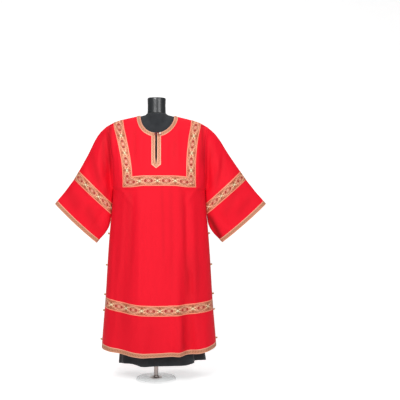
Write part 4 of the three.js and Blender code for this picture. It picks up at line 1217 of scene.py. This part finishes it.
def ending(geometry, given, wanted, add):
    """Every group ends alike: instances made real, smooth shaded, with their material."""
    smooth = add("SetShadeSmooth", Geometry=add("RealizeInstances", Geometry=geometry))
    wire_up(wanted, Geometry=add("SetMaterial", Geometry=smooth, Material=given["Material"]))


def turned_to(way):
    return node(way.id_data, "FunctionNodeAlignEulerToVector", {"axis": "Z"}, Vector=way).outputs[0]


def vector(tree, **ways):
    return node(tree, "ShaderNodeCombineXYZ", **ways).outputs[0]


running_stitch, given, wanted, add = geometry_group(
    "Running Stitch", ("Pitch", 0.0042), ("Length", 0.0030), ("Thread", 0.0005)
)
line = add("ResampleCurve", {"mode": "LENGTH"}, Length=given["Pitch"],
           Curve=add("MeshToCurve", Mesh=given["Geometry"]))
bead = add("MeshUVSphere", Segments=6, Rings=4, Radius=0.5)
shape = vector(running_stitch, X=given["Thread"], Y=given["Thread"], Z=given["Length"])
beads = add("InstanceOnPoints", Points=line, Instance=bead,
            Rotation=turned_to(add("InputTangent")), Scale=shape)
ending(beads, given, wanted, add)

sewing_thread, tree, shader = new_material("sewing_thread")
wire_up(shader, Roughness=0.5,
        Base_Color=blend(noise(object_place(tree), 900.0), (0.78, 0.40, 0.26), (0.96, 0.58, 0.40)))
for place, lines in stitch_lines.items():
    ends = np.cumsum([len(line) for line in lines])
    edges = [(i, i + 1) for i in range(ends[-1] - 1) if i + 1 not in ends]
    stitches = grown(f"{place}_braid_stitches", running_stitch, np.concatenate(lines) / 1000, edges=edges,
                     Pitch=0.0046, Length=0.0032, Thread=0.0005, Material=sewing_thread)
    finish(stitches, sewing_thread, "narrow_braid")


# ---- buttons and loops ----------------------------------------------------------------------------
# Five gilt ball buttons down each side slit, shanked to the front's edge, each with a loop of dark red
# cord from the back's edge. A small pearl button and loop close the top of the neck slit.
CAD_BALL, CAD_SHANK, SUNK = 0.0075, 0.0044, 0.92  # a ball sits on its shank at this share of its radius
BALL, SHANK, SHANK_LONG = 0.0057, 0.0018, 0.0028
PEARL, PEARL_SHANK, PEARL_SHANK_LONG = 0.0066, 0.0013, 0.0030
LOOP, CORD, NECK_CORD = 0.0085, 0.0011, 0.0015
NECK_BUTTON_X, NECK_BUTTON_Z, NECK_LOOP_HALF, NECK_LOOP_START = 23, 1456, 6.5, -13


def aim(tree):
    made = node(tree, "GeometryNodeInputNamedAttribute", {"data_type": "FLOAT_VECTOR"}, Name="aim")
    return turned_to(made.outputs[0])


def cord_along(add, curve, radius, **more):
    section = add("CurvePrimitiveCircle", Resolution=10, Radius=radius)
    return add("CurveToMesh", Curve=curve, Profile_Curve=section, **more)


ball_button, given, wanted, add = geometry_group(
    "Ball Button", ("Ball Radius", CAD_BALL), ("Shank Radius", 0.002), ("Shank Length", CAD_SHANK)
)
radius, long = Wire(given["Ball Radius"]), Wire(given["Shank Length"])
parts = add("JoinGeometry")
for part, height in (
    (add("MeshCylinder", Vertices=14, Radius=given["Shank Radius"], Depth=long), long * 0.5),
    (add("MeshUVSphere", Segments=32, Rings=20, Radius=radius), long + radius * SUNK),
):
    lifted = add("Transform", Geometry=part, Translation=vector(ball_button, Z=height))
    ball_button.links.new(lifted, parts.node.inputs[0])
ending(add("InstanceOnPoints", Points=given["Geometry"], Instance=parts, Rotation=aim(ball_button)),
       given, wanted, add)

cord_loop, given, wanted, add = geometry_group("Cord Loop", ("Loop Radius", LOOP), ("Cord Radius", CORD))
ring = add("CurvePrimitiveCircle", Resolution=40, Radius=given["Loop Radius"])
cord = cord_along(add, ring, given["Cord Radius"])
ending(add("InstanceOnPoints", Points=given["Geometry"], Instance=cord, Rotation=aim(cord_loop)),
       given, wanted, add)

laid_cord, given, wanted, add = geometry_group("Laid Cord", ("Cord Radius", 0.001), ("Step", 0.0015))
line = add("ResampleCurve", {"mode": "LENGTH"}, Length=given["Step"],
           Curve=add("MeshToCurve", Mesh=given["Geometry"]))
ending(cord_along(add, line, given["Cord Radius"], Fill_Caps=True), given, wanted, add)

gilt, tree, shader = new_material("gilt_metal")
place = object_place(tree)
engraved = node(tree, "ShaderNodeTexVoronoi", {"feature": "DISTANCE_TO_EDGE"}, Scale=420.0, Vector=place)
groove = between(engraved.outputs["Distance"], 0.0, 1.0, From_Max=0.12)
wire_up(shader, Base_Color=blend(groove, (0.30, 0.16, 0.05), (0.90, 0.62, 0.28)), Metallic=1.0,
        Roughness=between(noise(place, 400.0, 3.0), 0.18, 0.42), Normal=bump(groove, 0.6, 0.0005))

red_cord, tree, shader = new_material("dark_red_cord")
twist = waves(object_place(tree), "DIAGONAL", 500.0, Distortion=0.3)
wire_up(shader, Base_Color=blend(twist, (0.17, 0.005, 0.010), (0.42, 0.012, 0.022)), Roughness=0.55,
        Normal=bump(twist, 0.6, 0.0004))

pearl, tree, shader = new_material("pearl_button")
wire_up(shader, Base_Color=blend(noise(object_place(tree), 260.0), (0.82, 0.60, 0.48), (0.97, 0.82, 0.70)),
        Roughness=0.22, Coat_Weight=0.6)

bases, rings, button_aims = [], [], []
button_nodes, loop_nodes = (
    [f"{what}_{side}_{n}" for side in ("right", "left") for n in range(1, 6)] for what in ("button", "loop")
)
for button, loop in zip(button_nodes, loop_nodes):
    low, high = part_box(button)
    middle, side = (low + high) / 2, -1 if "right" in button else 1
    widths = read(BODY["half"], middle.z * 1000 + np.array([-9, 9]))
    slant = math.atan(float(widths[0] - widths[1]) / 18)
    direction = Vector((side * math.cos(slant), 0, math.sin(slant)))
    centre = Vector((high.x - CAD_BALL if side > 0 else low.x + CAD_BALL, middle.y, middle.z))
    bases.append(centre - direction * (CAD_SHANK + CAD_BALL * SUNK))
    button_aims.append(direction)
    rings.append(sum(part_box(loop), Vector()) / 2)
buttons = grown("side_buttons", ball_button, bases, button_aims,
                Ball_Radius=BALL, Shank_Radius=SHANK, Shank_Length=SHANK_LONG, Material=gilt)
finish(buttons, gilt, "button_metal", *button_nodes)
loops = grown("side_loops", cord_loop, rings, button_aims,
              Loop_Radius=LOOP, Cord_Radius=CORD, Material=red_cord)
finish(loops, red_cord, "loop_cord", *loop_nodes)


def on_neck(x, z, height):
    """Places over the neck galloon, at a height above the cloth, in metres."""
    cut = on_body("front", np.asarray(x, float), np.asarray(z, float))
    return (body("front", *cut) + body_normal("front", *cut) * np.asarray(height)[..., None]) / 1000


turn = np.linspace(-np.pi / 2, np.pi / 2, 16)[1:-1]
ahead = np.linspace(NECK_LOOP_START, NECK_BUTTON_X, 18)
loop_x = np.concatenate([ahead, NECK_BUTTON_X + NECK_LOOP_HALF * np.cos(turn), ahead[::-1]])
away = np.concatenate([np.full(18, -1), np.sin(turn), np.full(18, 1)]) * NECK_LOOP_HALF
loop_z = NECK_BUTTON_Z + away * (0.35 + 0.65 * ease((loop_x - NECK_LOOP_START) / 22))
loop_points = on_neck(loop_x, loop_z, 2.9 + 2.2 * ease((loop_x - NECK_LOOP_START) / 8))
loop_edges = [(i, i + 1) for i in range(len(loop_points) - 1)]
neck_loop = grown("neck_loop", laid_cord, loop_points, edges=loop_edges,
                  Cord_Radius=NECK_CORD, Step=0.0015, Material=red_cord)
finish(neck_loop, red_cord, "loop_cord")
foot_place, head_place = on_neck([NECK_BUTTON_X] * 2, [NECK_BUTTON_Z] * 2, [1.7, 9.0])
neck_button = grown("neck_button", ball_button, [foot_place], [head_place - foot_place],
                    Ball_Radius=PEARL, Shank_Radius=PEARL_SHANK, Shank_Length=PEARL_SHANK_LONG,
                    Material=pearl)
finish(neck_button, pearl, "button_metal")
